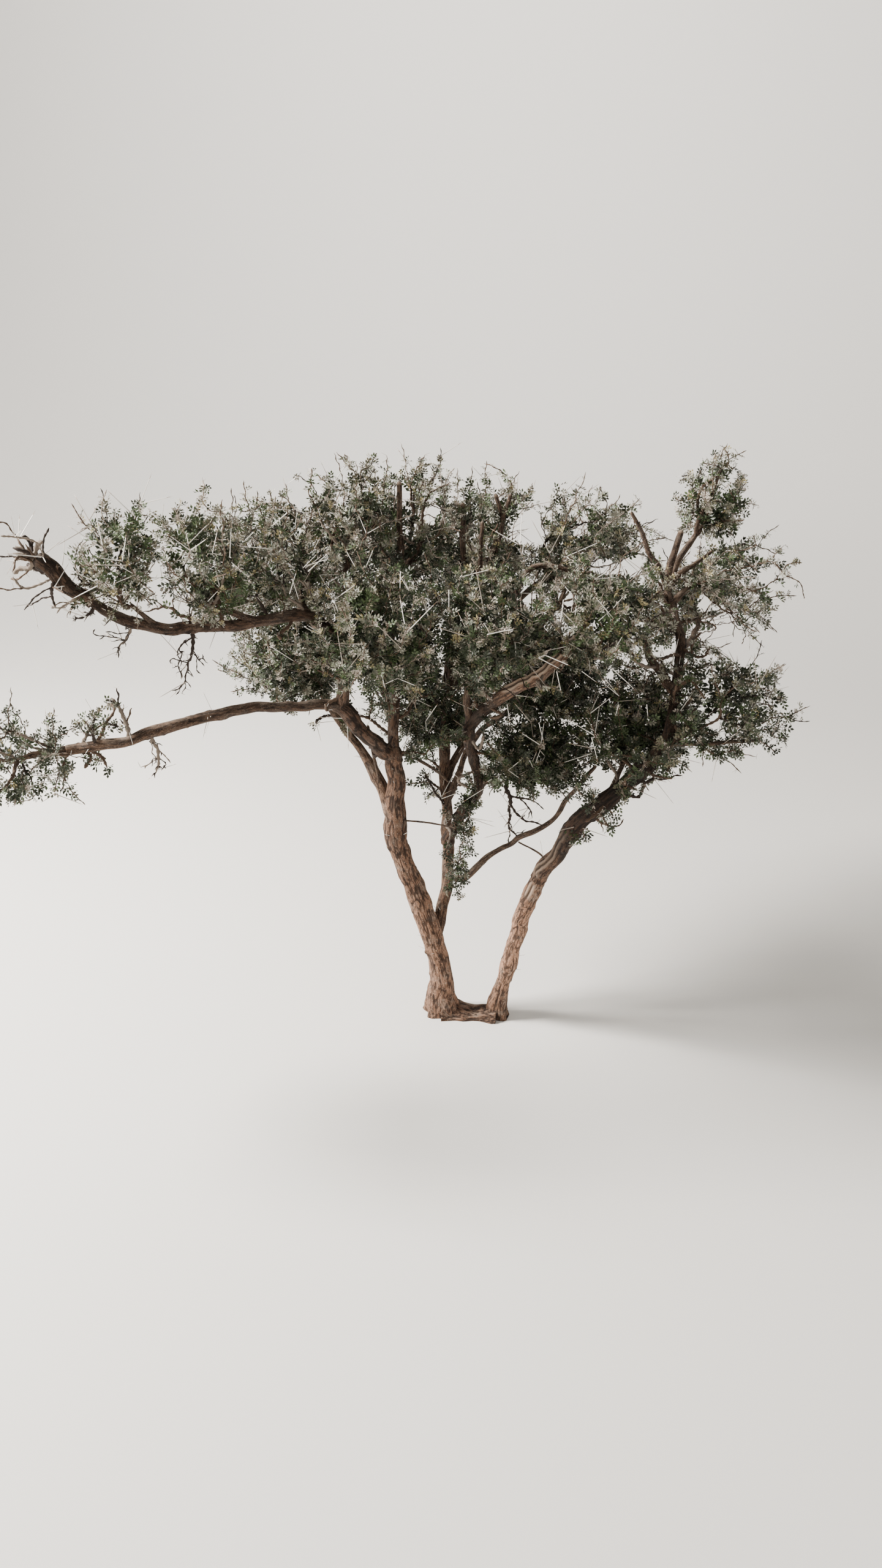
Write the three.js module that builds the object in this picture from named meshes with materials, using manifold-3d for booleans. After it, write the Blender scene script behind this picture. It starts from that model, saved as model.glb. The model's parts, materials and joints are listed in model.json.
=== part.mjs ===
// Acacia tree: a low thorn tree with several stems from one root crown and a wide, ragged crown.
// Millimetres, +Z up, +Y away from the viewer. The origin is on the ground, at the main trunk's foot.
import * as THREE from 'three';
import { mergeVertices } from 'three/addons/utils/BufferGeometryUtils.js';
import Module from 'manifold-3d';

const wasm = await Module();
wasm.setup();

// Joints and clearances
const JOINT_GAP = 0.3;
const SPACE_MARGIN = 0.6;
const LIMB_MARGIN = 3;
const LEAF_LIMB_MARGIN = 6;
const LIMB_TOLERANCE = 0.02;
const MASS_TOLERANCE = 0.2;

// Trunk foot
const GROUND = 0;
const FOOT_DEPTH = 60;
const FLARE = 0.75;
const FLARE_HEIGHT = 42;
const FLARE_ROOTS = 5;
const FLARE_LOBE = 0.3;

const CROWN_HEIGHT = 5;
const CROWN_RADII = [27, 21, 17];

// Limb sections
const RING_RUN = 72;
const STOUT_RADIUS = 9;
const STOUT_SIDES = 8;
const SLIM_SIDES = 6;
const ENTRY = 0.8;

// Twigs and sprays of a foliage mass
const TWIGS_PER_METRE = 112;
const TWIG_SIDES = 3;
const TWIG_TIP_RADIUS = 1.5;
const TWIG_RUN = 75;
const KINK = 0.12;
const STEM_RUN = 14;
const PATH_SHARE = 0.3;
const TURN_SHARE = 0.6;
const TWIG_REACH = [0.22, 0.66];
const SPRAY_LENGTH = 98;
const SPRAY_WIDTH = 62;
const SPRAY_THICKNESS = 4;
const SPRAY_WAIST = 0.46;
const SPRAY_TRIES = 9;
const SPRAY_CLEAR = 0.12;
const SPRAY_STRAY = 0.2;
const SPRAY_SIZES = [1.1, 0.65];
const STALK_RUN = 9;
const STALK_TURN = 0.95;
const STALK_RADIUS = 0.9;
const FACE_SHARE = 0.6;
const ROOT_SINK = 0.25;
// The faces between a twig's last ring (0 to 2) and a spray's waist (3 to 6), and on to its tip (7).
const SPRAY_STITCH = [0, 4, 3, 0, 1, 4, 1, 5, 4, 1, 2, 5, 2, 6, 5, 2, 3, 6, 2, 0, 3,
  3, 4, 7, 4, 5, 7, 5, 6, 7, 6, 3, 7];
const THORN_LENGTH = 62;
const THORN_RADIUS = 1.3;
const THORN_TURN = 1.1;

const bark = { color: 0x6b5443, roughness: 0.95, metalness: 0 };
const twigBark = { color: 0x77695a, roughness: 0.95, metalness: 0 };
const foliage = { color: 0x545a3c, roughness: 0.9, metalness: 0 };
const deadTwigs = { color: 0x8b8074, roughness: 0.95, metalness: 0 };

// Each foliage mass: the middle and half-widths of its space, and the seed of its twigs.
const MASSES = {
  lower_left_foliage: { middle: [-815, -340, 735], half: [175, 120, 115], seed: 11 },
  left_knot_twigs: { middle: [-745, -215, 1080], half: [105, 90, 85], seed: 12, bare: true },
  outer_left_foliage: { middle: [-590, -190, 1070], half: [120, 115, 110], seed: 13 },
  upper_left_foliage: { middle: [-440, -165, 1065], half: [125, 130, 120], seed: 14 },
  inner_left_foliage: { middle: [-305, -75, 1060], half: [125, 140, 125], seed: 15 },
  left_top_foliage: { middle: [-185, -35, 1105], half: [120, 130, 120], seed: 16 },
  left_under_foliage: { middle: [-310, 70, 825], half: [150, 150, 120], seed: 17 },
  leader_foliage: { middle: [-60, 70, 1085], half: [135, 150, 135], seed: 18 },
  front_foliage: { middle: [-110, -200, 940], half: [160, 155, 130], seed: 19 },
  crown_top_foliage: { middle: [95, 90, 1055], half: [140, 150, 135], seed: 20 },
  front_middle_foliage: { middle: [85, -180, 945], half: [145, 150, 130], seed: 21 },
  middle_low_foliage: { middle: [215, -10, 790], half: [150, 140, 120], seed: 22 },
  middle_right_foliage: { middle: [290, -190, 975], half: [140, 135, 120], seed: 23 },
  top_right_foliage: { middle: [280, 90, 1040], half: [145, 150, 125], seed: 24 },
  spire_foliage: { middle: [528, 35, 1135], half: [75, 80, 100], seed: 25 },
  far_right_foliage: { middle: [570, 0, 995], half: [125, 130, 105], seed: 26 },
  right_low_foliage: { middle: [525, -210, 800], half: [130, 125, 110], seed: 28 },
  right_under_foliage: { middle: [375, -140, 745], half: [135, 125, 115], seed: 29 },
  under_foliage: { middle: [195, -70, 655], half: [130, 120, 95], seed: 30 },
  low_back_foliage: { middle: [-15, 190, 680], half: [145, 140, 115], seed: 27 },
  back_left_foliage: { middle: [-200, 320, 965], half: [180, 170, 150], seed: 31 },
  back_foliage: { middle: [60, 400, 965], half: [175, 175, 150], seed: 32 },
  back_right_foliage: { middle: [330, 320, 960], half: [175, 170, 145], seed: 33 },
  left_back_foliage: { middle: [-405, 150, 980], half: [155, 155, 130], seed: 34 },
  right_back_foliage: { middle: [550, 190, 890], half: [140, 145, 130], seed: 35 },
};

// Each limb: where on its parent it leaves, the few points that it bends through, its end or the
// mass that it enters, and its radius at each end.
const LIMBS = [
  { name: 'trunk', via: [[4, 0, -FOOT_DEPTH], [-2, 0, 20], [-21, 0, 180], [-64, -5, 305], [-97, -12, 425]],
    to: [-103, -25, 655], radius: [24, 18] },
  { name: 'middle_stem', from: 'trunk', at: 0.33,
    via: [[0, 34, 265], [7, 72, 390], [2, 120, 523], [5, 155, 690]], to: [32, 150, 830], radius: [13, 9] },
  { name: 'middle_limb', from: 'middle_stem', at: 0.33,
    via: [[46, 38, 482], [72, -12, 556], [54, -50, 645]], to: [48, -88, 722], radius: [12.5, 11.5] },
  { name: 'middle_limb_bend', from: 'middle_limb', at: 0.97,
    via: [[78, -112, 762], [122, -150, 806], [198, -196, 872]],
    into: 'middle_right_foliage', radius: [12, 8] },
  { name: 'right_stem', foot: true,
    via: [[119, -18, -FOOT_DEPTH], [121, -22, 30], [148, -60, 198], [172, -100, 320]],
    to: [193, -140, 409], radius: [15, 13.5] },
  { name: 'right_stem_upper', from: 'right_stem', at: 0.99,
    via: [[220, -172, 472], [255, -210, 556], [298, -240, 615]],
    to: [388, -262, 712], radius: [14.5, 12] },
  { name: 'right_bough', from: 'right_stem_upper', at: 0.98,
    via: [[418, -242, 766], [430, -208, 822], [446, -125, 905]],
    to: [428, -45, 985], radius: [11, 7.5] },
  { name: 'left_limb', from: 'trunk', at: 0.96, via: [[-136, -50, 668], [-163, -71, 695]],
    to: [-209, -110, 772], radius: [13.5, 12] },
  { name: 'lower_left_limb', from: 'left_limb', at: 0.95,
    via: [[-290, -142, 777], [-438, -212, 781], [-597, -290, 757]],
    into: 'lower_left_foliage', radius: [9.5, 8] },
  { name: 'left_riser', from: 'left_limb', at: 0.93, via: [[-194, -117, 812], [-181, -126, 862]],
    to: [-196, -137, 912], radius: [11, 10.5] },
  { name: 'upper_left_limb', from: 'left_riser', at: 0.97,
    via: [[-247, -154, 952], [-400, -182, 948], [-562, -204, 953], [-640, -212, 1002]],
    into: 'left_knot_twigs', radius: [10.5, 6.5] },
  { name: 'leader', from: 'trunk', at: 0.985, via: [[-103, -8, 735], [-110, 20, 860]],
    into: 'leader_foliage', radius: [15, 9] },
  { name: 'outer_left_shoot', from: 'upper_left_limb', at: 0.66, via: [[-572, -200, 990]],
    into: 'outer_left_foliage', radius: [5.5, 4.5] },
  { name: 'upper_left_shoot', from: 'upper_left_limb', at: 0.33, via: [[-412, -180, 975]],
    into: 'upper_left_foliage', radius: [6.5, 5] },
  { name: 'inner_left_branch', from: 'upper_left_limb', at: 0.09, via: [[-262, -130, 968]],
    into: 'inner_left_foliage', radius: [7.5, 5.5] },
  { name: 'left_top_bough', from: 'left_riser', at: 0.85, via: [[-186, -110, 950]],
    into: 'left_top_foliage', radius: [8, 6] },
  { name: 'left_branch', from: 'trunk', at: 0.78, via: [[-161, 10, 606], [-200, 36, 655]],
    into: 'left_under_foliage', radius: [7, 5] },
  { name: 'front_bough', from: 'leader', at: 0.3, via: [[-98, -70, 790], [-100, -120, 840]],
    into: 'front_foliage', radius: [9, 6.5] },
  { name: 'crown_top_bough', from: 'middle_stem', at: 0.98, via: [[52, 135, 900]],
    into: 'crown_top_foliage', radius: [8.5, 6.5] },
  { name: 'front_middle_bough', from: 'middle_limb', at: 0.92, via: [[46, -106, 790]],
    into: 'front_middle_foliage', radius: [8.5, 6.5] },
  { name: 'middle_low_bough', from: 'middle_stem', at: 0.45, via: [[62, 96, 620], [120, 55, 690]],
    into: 'middle_low_foliage', radius: [8, 5.5] },
  { name: 'top_right_bough', from: 'middle_stem', at: 0.8, via: [[85, 150, 840], [165, 125, 930]],
    into: 'top_right_foliage', radius: [8, 6] },
  { name: 'spire_bough', from: 'right_bough', at: 0.96, via: [[452, -10, 1020]],
    into: 'spire_foliage', radius: [6.5, 5.5] },
  { name: 'far_right_bough', from: 'right_bough', at: 0.9, via: [[470, -40, 985]],
    into: 'far_right_foliage', radius: [6.5, 5] },
  { name: 'low_back_bough', from: 'middle_stem', at: 0.3, via: [[0, 120, 480]],
    into: 'low_back_foliage', radius: [7, 5] },
  { name: 'right_low_bough', from: 'right_stem_upper', at: 0.93, via: [[415, -262, 740]],
    into: 'right_low_foliage', radius: [7.5, 5] },
  { name: 'right_under_bough', from: 'right_stem_upper', at: 0.72, via: [[335, -205, 665]],
    into: 'right_under_foliage', radius: [7, 5] },
  { name: 'under_bough', from: 'middle_limb', at: 0.35, via: [[105, -10, 590]],
    into: 'under_foliage', radius: [6, 4.5] },
  { name: 'back_left_bough', from: 'leader', at: 0.2, via: [[-135, 80, 770], [-165, 180, 855]],
    into: 'back_left_foliage', radius: [9.5, 7] },
  { name: 'back_bough', from: 'middle_stem', at: 0.62, via: [[8, 220, 735], [25, 290, 830]],
    into: 'back_foliage', radius: [9.5, 7] },
  { name: 'back_right_bough', from: 'middle_stem', at: 0.53, via: [[80, 190, 660], [180, 250, 790]],
    into: 'back_right_foliage', radius: [9, 6.5] },
  { name: 'left_back_bough', from: 'left_riser', at: 0.3, via: [[-225, -40, 860], [-285, 45, 915]],
    into: 'left_back_foliage', radius: [7.5, 5.5] },
  { name: 'right_back_bough', from: 'right_bough', at: 0.62, via: [[478, -60, 880], [512, 30, 885]],
    into: 'right_back_foliage', radius: [6.5, 5] },
];

const vector = (values) => new THREE.Vector3(...values);
const mix = (a, b, share) => a + (b - a) * share;
const fraction = (value) => value - Math.floor(value);

// A repeatable stream of numbers from 0 to 1.
function seeded(seed) {
  let state = seed >>> 0;
  return () => {
    state = (state + 0x6d2b79f5) >>> 0;
    let word = Math.imul(state ^ (state >>> 15), state | 1);
    word ^= word + Math.imul(word ^ (word >>> 7), word | 61);
    return ((word ^ (word >>> 14)) >>> 0) / 4294967296;
  };
}

const anyWay = (random) => new THREE.Vector3(random() - 0.5, random() - 0.5, random() - 0.5);

// The way that a limb's first corner faces.
const FIRST_ACROSS = new THREE.Vector3(1, 0.2, 0.1);

// Solids and geometry

function solidOf(geometry) {
  const plain = geometry.clone();
  plain.deleteAttribute('normal');
  plain.deleteAttribute('uv');
  const merged = mergeVertices(plain, 1e-4);
  return new wasm.Manifold(new wasm.Mesh({
    numProp: 3,
    vertProperties: new Float32Array(merged.getAttribute('position').array),
    triVerts: new Uint32Array(merged.index.array),
  }));
}

function geometryOf(solid) {
  const { vertProperties, triVerts } = solid.getMesh();
  const geometry = new THREE.BufferGeometry();
  geometry.setAttribute('position', new THREE.BufferAttribute(vertProperties, 3));
  geometry.setIndex(new THREE.BufferAttribute(triVerts, 1));
  geometry.computeVertexNormals();
  return geometry;
}

function largestBody(solid) {
  return solid.decompose().reduce((best, body) => (body.volume() > best.volume() ? body : best));
}

// The direction of a line of points at one of them.
function heading(points, i) {
  const before = points[Math.max(i - 1, 0)];
  const after = points[Math.min(i + 1, points.length - 1)];
  return after.clone().sub(before).normalize();
}

// A frame at each point of a line, turned as little as it can be from one to the next.
function framesAlong(points, start) {
  let across = start;
  return points.map((_, i) => {
    const along = heading(points, i);
    across = across.clone().addScaledVector(along, -across.dot(along)).normalize();
    return { along, across, other: along.clone().cross(across) };
  });
}

// A closed flat-sided tube with one ring at each point. swell(i, angle) may widen a ring, and the
// tube ends in a flat cap or goes on into a spray.
function tube(points, radii, sides, { start = FIRST_ACROSS, swell = () => 1, spray } = {}) {
  const corners = [];
  const index = [];
  framesAlong(points, start).forEach(({ across, other }, i) => {
    for (let side = 0; side < sides; side++) {
      const angle = (side / sides) * 2 * Math.PI;
      const radius = radii[i] * swell(i, angle);
      corners.push(points[i].clone().addScaledVector(across, Math.cos(angle) * radius)
        .addScaledVector(other, Math.sin(angle) * radius));
    }
  });
  for (let ring = 0; ring < points.length - 1; ring++) {
    for (let side = 0; side < sides; side++) {
      const a = ring * sides + side;
      const b = ring * sides + ((side + 1) % sides);
      index.push(a, b, b + sides, a, b + sides, a + sides);
    }
  }
  for (let side = 1; side < sides - 1; side++) index.push(0, side + 1, side);
  const last = (points.length - 1) * sides;
  if (spray) {
    const waist = corners.length;
    corners.push(...spray.waist, spray.tip);
    index.push(...SPRAY_STITCH.map((corner) => (corner < TWIG_SIDES ? last : waist - TWIG_SIDES) + corner));
  } else {
    for (let side = 1; side < sides - 1; side++) index.push(last, last + side, last + side + 1);
  }
  return new THREE.BufferGeometry().setFromPoints(corners).setIndex(index);
}

// Limbs

// The place where a limb enters its mass, on the way from its last bend to the mass's middle.
function entryPoint(from, mass) {
  const middle = vector(mass.middle);
  const out = from.clone().sub(middle);
  return middle.addScaledVector(out, ENTRY / out.clone().divide(vector(mass.half)).length());
}

function planLimb(limb, planned) {
  const points = limb.via.map(vector);
  if (limb.from) {
    const parent = planned[limb.from].points;
    const place = limb.at * (parent.length - 1);
    const before = Math.floor(place);
    points.unshift(parent[before].clone().lerp(parent[before + 1], place - before));
  }
  points.push(limb.into ? entryPoint(points.at(-1), MASSES[limb.into]) : vector(limb.to));
  const curve = new THREE.CatmullRomCurve3(points, false, 'centripetal');
  const steps = Math.max(3, Math.ceil(curve.getLength() / RING_RUN));
  const spaced = curve.getSpacedPoints(steps);
  const radii = spaced.map((_, i) => mix(limb.radius[0], limb.radius[1], i / steps));
  return { ...limb, points: spaced, radii };
}

// The roots' flare at a foot: widest at the ground, with a lobe for each root.
function footSwell(points) {
  return (i, angle) => {
    const height = Math.max(points[i].z, GROUND);
    const lobes = 1 + FLARE_LOBE * Math.cos(FLARE_ROOTS * angle);
    return 1 + FLARE * lobes * Math.exp(-height / FLARE_HEIGHT);
  };
}

const belowGround = solidOf(new THREE.BoxGeometry(1200, 1200, 400)).translate([0, 0, GROUND - 200]);

// A limb's solid, or with grow its outline that much larger all round, for cutting its neighbours.
function limbSolid(limb, grow = 0) {
  const points = limb.points.map((point) => point.clone());
  const radii = limb.radii.map((radius) => radius + grow);
  points[0].addScaledVector(heading(limb.points, 0), -grow);
  points.at(-1).addScaledVector(heading(limb.points, points.length - 1), grow);
  const sides = limb.radii[0] > STOUT_RADIUS ? STOUT_SIDES : SLIM_SIDES;
  const stands = limb.name === 'trunk' || limb.foot;
  const solid = solidOf(tube(points, radii, sides, stands ? { swell: footSwell(points) } : {}));
  return stands ? solid.subtract(belowGround) : solid;
}

// The low root crown that joins the main trunk's foot to the right stem's.
function rootCrown(planned) {
  const foot = planned.right_stem.points[1];
  const middle = new THREE.Vector3(foot.x / 2, foot.y / 2, CROWN_HEIGHT);
  const points = [new THREE.Vector3(0, 0, 0), middle, new THREE.Vector3(foot.x, foot.y, 0)];
  return solidOf(tube(points, CROWN_RADII, STOUT_SIDES)).subtract(belowGround);
}

// Foliage masses

// The planes that part a mass from its neighbours, each at its share of the way between them.
function spaceOf(name) {
  const { middle, half } = MASSES[name];
  const planes = [];
  for (const [other, neighbour] of Object.entries(MASSES)) {
    if (other === name) continue;
    const way = vector(neighbour.middle).sub(vector(middle));
    const distance = way.length();
    way.normalize();
    const mine = way.clone().multiply(vector(half)).length();
    const theirs = way.clone().multiply(vector(neighbour.half)).length();
    if (mine + theirs > distance) planes.push({ way, limit: (distance * mine) / (mine + theirs) });
  }
  return { middle: vector(middle), half: vector(half), planes };
}

function inSpace(space, point, margin) {
  const out = point.clone().sub(space.middle);
  const edge = space.half.clone().subScalar(margin);
  return out.clone().divide(edge).length() <= 1
    && space.planes.every(({ way, limit }) => out.dot(way) <= limit - margin);
}

// Whether a point keeps its distance from every limb. Past its own bough's tip that one is clear.
function clearOfLimbs(point, limbs, own, margin) {
  const nearest = new THREE.Vector3();
  const piece = new THREE.Line3();
  return limbs.every((limb) => {
    if (limb === own.bough && point.clone().sub(own.foot).dot(own.way) > 0) return true;
    for (let i = 0; i < limb.points.length - 1; i++) {
      piece.set(limb.points[i], limb.points[i + 1]).closestPointToPoint(point, true, nearest);
      if (nearest.distanceTo(point) < Math.max(limb.radii[i], limb.radii[i + 1]) + margin) return false;
    }
    return true;
  });
}

// Places spread evenly through a mass's space, between two shares of its half-widths.
function scatter(random, space, count, reach) {
  const offsets = [random(), random(), random()];
  const places = [];
  for (let i = 0; places.length < count && i < count * 6; i++) {
    const up = 1 - 2 * fraction(offsets[0] + i * 0.7548776662);
    const turn = 2 * Math.PI * fraction(offsets[1] + i * 0.569840291);
    const share = mix(reach[0], reach[1], Math.sqrt(fraction(offsets[2] + i * 0.6180339887)));
    const level = Math.sqrt(1 - up * up);
    const place = new THREE.Vector3(Math.cos(turn) * level, Math.sin(turn) * level, up)
      .multiply(space.half).multiplyScalar(share).add(space.middle);
    if (inSpace(space, place, SPACE_MARGIN)) places.push(place);
  }
  return places;
}

// The number of twigs that suits a mass's size.
function twigCount({ half }) {
  return Math.round(TWIGS_PER_METRE * Math.cbrt(half[0] * half[1] * half[2]) / 1000);
}

// Starts a mass's wood: a stem from the bough's tip, straight on and then to near the middle.
function startWood(own, space, random) {
  const foot = own.foot.clone().addScaledVector(own.way, JOINT_GAP);
  const neck = foot.clone().addScaledVector(own.way, STEM_RUN);
  const heart = anyWay(random).multiply(space.half).multiplyScalar(0.3).add(space.middle);
  const rise = heart.distanceTo(neck);
  return [
    { place: foot, from: -1, path: 0 },
    { place: neck, from: 0, path: STEM_RUN },
    { place: heart, from: 1, path: STEM_RUN + rise },
  ];
}

// The cheapest wood to branch from: near, not far along its own path, and not turning back.
function bestFork(wood, target) {
  let best = -1;
  let least = Infinity;
  for (let i = 1; i < wood.length; i++) {
    const way = target.clone().sub(wood[i].place);
    const distance = way.length();
    const before = wood[i].place.clone().sub(wood[wood[i].from].place).normalize();
    const turn = 1 - before.dot(way) / Math.max(distance, 1e-6);
    const cost = distance * (1 + TURN_SHARE * turn) + PATH_SHARE * wood[i].path;
    if (cost < least) [least, best] = [cost, i];
  }
  return best;
}

// Grows a kinked twig to a target, or nothing where it would leave the space or touch a limb.
function branchTo(wood, target, run, random, isFree) {
  const fork = bestFork(wood, target);
  const start = wood[fork].place;
  const distance = start.distanceTo(target);
  const steps = Math.max(1, Math.round(distance / run));
  const sway = anyWay(random).cross(target.clone().sub(start)).setLength(KINK * run);
  const grown = [];
  for (let step = 1; step <= steps; step++) {
    const place = start.clone().lerp(target, step / steps);
    if (step < steps) place.addScaledVector(sway, step % 2 ? 1 : -1);
    grown.push(place);
  }
  let last = start;
  for (const place of grown) {
    for (let share = 0.25; share <= 1; share += 0.25) {
      if (!isFree(last.clone().lerp(place, share))) return -1;
    }
    last = place;
  }
  let from = fork;
  for (const place of grown) {
    const path = wood[from].path + place.distanceTo(wood[from].place);
    wood.push({ place, from, path });
    from = wood.length - 1;
  }
  return from;
}

// Pipe model: wood's section is shared out among the tips that it carries.
function thicken(wood, footRadius) {
  const tips = wood.map(() => 0);
  const carries = new Set(wood.map((bit) => bit.from));
  for (let i = wood.length - 1; i >= 0; i--) {
    if (!carries.has(i)) tips[i] = 1;
    if (wood[i].from >= 0) tips[wood[i].from] += tips[i];
  }
  wood.forEach((bit, i) => {
    bit.tips = tips[i];
    bit.radius = Math.max(TWIG_TIP_RADIUS, footRadius * Math.sqrt(tips[i] / tips[0]));
  });
}

// The wood as runs of places: each run goes on along the child that carries most.
function runsOf(wood) {
  const children = wood.map(() => []);
  wood.forEach((bit, i) => bit.from >= 0 && children[bit.from].push(i));
  children.forEach((list) => list.sort((a, b) => wood[b].tips - wood[a].tips));
  const runs = [];
  const follow = (start, first) => {
    const run = start < 0 ? [first] : [start, first];
    let at = first;
    while (children[at].length) {
      children[at].slice(1).forEach((side) => follow(at, side));
      [at] = children[at];
      run.push(at);
    }
    runs.push(run);
  };
  follow(-1, 0);
  return runs;
}

// A twig's radii. One that leaves another starts inside it.
function twigRadii(wood, run) {
  const radii = run.map((i) => wood[i].radius);
  if (run[0] > 0) radii[0] = Math.min(radii[0], radii[1]) * 0.8;
  return radii;
}

// A spray of leaves: the four corners of its waist, in order round its line, and its tip.
function sprayShape(root, way, across, size) {
  const face = way.clone().cross(across).normalize();
  const waist = root.clone().addScaledVector(way, SPRAY_LENGTH * SPRAY_WAIST * size);
  const corner = (side, reach) => waist.clone().addScaledVector(side, reach);
  const wide = (SPRAY_WIDTH / 2) * size;
  const thick = SPRAY_THICKNESS / 2;
  return {
    waist: [corner(across, wide), corner(face, thick), corner(across, -wide), corner(face, -thick)],
    tip: root.clone().addScaledVector(way, SPRAY_LENGTH * size),
  };
}

// A spray alone, closed at its root, to test whether it crosses another.
function sprayAlone(root, { waist, tip }) {
  const faces = waist.flatMap((_, i) => [0, 1 + ((i + 1) % 4), 1 + i, 5, 1 + i, 1 + ((i + 1) % 4)]);
  return solidOf(new THREE.BufferGeometry().setFromPoints([root, ...waist, tip]).setIndex(faces));
}

// A twig that ends in a spray. The spray is turned until it stays in the space and off the limbs,
// and crosses nothing that is taken. It is null where no turn of it does.
function leafyTwig(twig, taken, random, isFree) {
  const root = twig.points.at(-1);
  for (let attempt = 0; attempt < SPRAY_TRIES; attempt++) {
    const start = anyWay(random);
    const { along, across } = framesAlong(twig.points, start).at(-1);
    const way = along.clone().addScaledVector(anyWay(random), SPRAY_STRAY * (1 + attempt)).normalize();
    const side = across.clone().addScaledVector(way, -across.dot(way)).normalize();
    const spray = sprayShape(root, way, side, mix(...SPRAY_SIZES, attempt / (SPRAY_TRIES - 1)));
    if (!sprayPlaces(root, spray).every(isFree)) continue;
    const alone = sprayAlone(root.clone().lerp(spray.tip, SPRAY_CLEAR), spray);
    if (taken.some((other) => !other.intersect(alone).isEmpty())) continue;
    taken.push(alone);
    twig.start = start;
    return solidOf(tube(twig.points, twig.radii, TWIG_SIDES, { start, spray }));
  }
  return null;
}

// A flat face of a twig, on the way to its ring i: a place inside, and the way out.
function faceOf({ points, radii, start }, i, face) {
  const { across, other } = framesAlong(points, start)[i];
  const angle = ((face + 0.5) / TWIG_SIDES) * 2 * Math.PI;
  const along = points[i].clone().sub(points[i - 1]).normalize();
  const out = across.clone().multiplyScalar(Math.cos(angle)).addScaledVector(other, Math.sin(angle));
  out.addScaledVector(along, -out.dot(along)).normalize();
  const radius = mix(radii[i - 1], radii[i], FACE_SHARE);
  const root = points[i - 1].clone().lerp(points[i], FACE_SHARE).addScaledVector(out, -radius * ROOT_SINK);
  return { root, radius, along, out };
}

// A short stalk out of a twig's face, for a spray of its own.
function sideStalk(twig, i, face, random) {
  const { root, radius, along, out } = faceOf(twig, i, face);
  const way = along.multiplyScalar(Math.cos(STALK_TURN)).addScaledVector(out, Math.sin(STALK_TURN));
  return {
    points: [root, root.clone().addScaledVector(way, radius + STALK_RUN)],
    radii: [Math.min(radius * 0.5, STALK_RADIUS), STALK_RADIUS],
    start: anyWay(random),
  };
}

// A pair of long straight thorns out of two faces of a twig, spread in a V.
function thornPair(twig, i, isFree) {
  return [0, 1].map((face) => {
    const { root, radius, along, out } = faceOf(twig, i, face);
    const way = along.multiplyScalar(Math.cos(THORN_TURN)).addScaledVector(out, Math.sin(THORN_TURN));
    const tip = root.clone().addScaledVector(way, THORN_LENGTH);
    if (!isFree(tip) || !isFree(root.clone().lerp(tip, 0.5))) return null;
    return solidOf(spike(root, tip, Math.min(radius * 0.5, THORN_RADIUS)));
  }).filter(Boolean);
}

// A three-sided spike.
function spike(root, tip, radius) {
  const { across, other } = framesAlong([root, tip], new THREE.Vector3(0.3, 1, 0.2))[0];
  const foot = [0, 1, 2].map((side) => root.clone()
    .addScaledVector(across, Math.cos((side / 3) * 2 * Math.PI) * radius)
    .addScaledVector(other, Math.sin((side / 3) * 2 * Math.PI) * radius));
  const faces = [0, 2, 1, 0, 1, 3, 1, 2, 3, 2, 0, 3];
  return new THREE.BufferGeometry().setFromPoints([...foot, tip]).setIndex(faces);
}

// Places over a spray that have to be free.
function sprayPlaces(root, { waist, tip }) {
  const [left, , right] = waist;
  const between = (a, b, share) => a.clone().lerp(b, share);
  return [
    tip, left, right, between(left, right, 0.5),
    between(tip, left, 0.5), between(tip, right, 0.5),
    between(root, left, 0.6), between(root, right, 0.6),
    between(tip, root, 0.25), between(tip, root, 0.75),
  ];
}

function foliageSolid(name, limbs) {
  const mass = MASSES[name];
  const bough = limbs.find((limb) => limb.into === name);
  const own = { bough, foot: bough.points.at(-1), way: heading(bough.points, bough.points.length - 1) };
  const random = seeded(mass.seed);
  const space = spaceOf(name);
  const isFree = (point) => inSpace(space, point, SPACE_MARGIN + TWIG_TIP_RADIUS)
    && clearOfLimbs(point, limbs, own, LIMB_MARGIN);
  const bladeFree = (point) => inSpace(space, point, SPACE_MARGIN)
    && clearOfLimbs(point, limbs, own, LEAF_LIMB_MARGIN);
  const wood = startWood(own, space, random);
  const targets = scatter(random, space, twigCount(mass), TWIG_REACH)
    .sort((a, b) => a.distanceTo(own.foot) - b.distanceTo(own.foot));
  const ends = targets.map((target) => branchTo(wood, target, TWIG_RUN, random, isFree))
    .filter((end) => end > 0);
  thicken(wood, bough.radii.at(-1));
  const twigs = runsOf(wood).map((run) => ({
    run,
    points: run.map((at) => wood[at].place),
    radii: twigRadii(wood, run),
    start: anyWay(random),
  }));
  const bareTwig = ({ points, radii, start }) => solidOf(tube(points, radii, TWIG_SIDES, { start }));
  const bareTwigs = twigs.map(bareTwig);
  if (mass.bare) {
    const thorns = twigs.flatMap((twig) => thornPair(twig, twig.points.length - 1, isFree));
    return wasm.Manifold.union([...bareTwigs, ...thorns]);
  }
  const taken = [...bareTwigs];
  const pieces = twigs.map((twig, i) => leafyTwig(twig, taken, random, bladeFree) ?? bareTwigs[i]);
  for (const end of ends) {
    const carrier = twigs.findIndex(({ run }) => run.indexOf(end) > 0);
    const ring = twigs[carrier].run.indexOf(end);
    if (ring === twigs[carrier].run.length - 1) continue;
    for (const face of [0, 1, 2]) {
      const leafy = leafyTwig(sideStalk(twigs[carrier], ring, face, random), taken, random, bladeFree);
      if (!leafy) continue;
      if (pieces.every((piece, i) => i === carrier || piece.intersect(leafy).isEmpty())) {
        pieces.push(leafy);
        break;
      }
      taken.pop();
    }
  }
  return wasm.Manifold.union(pieces);
}

// The tree

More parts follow.
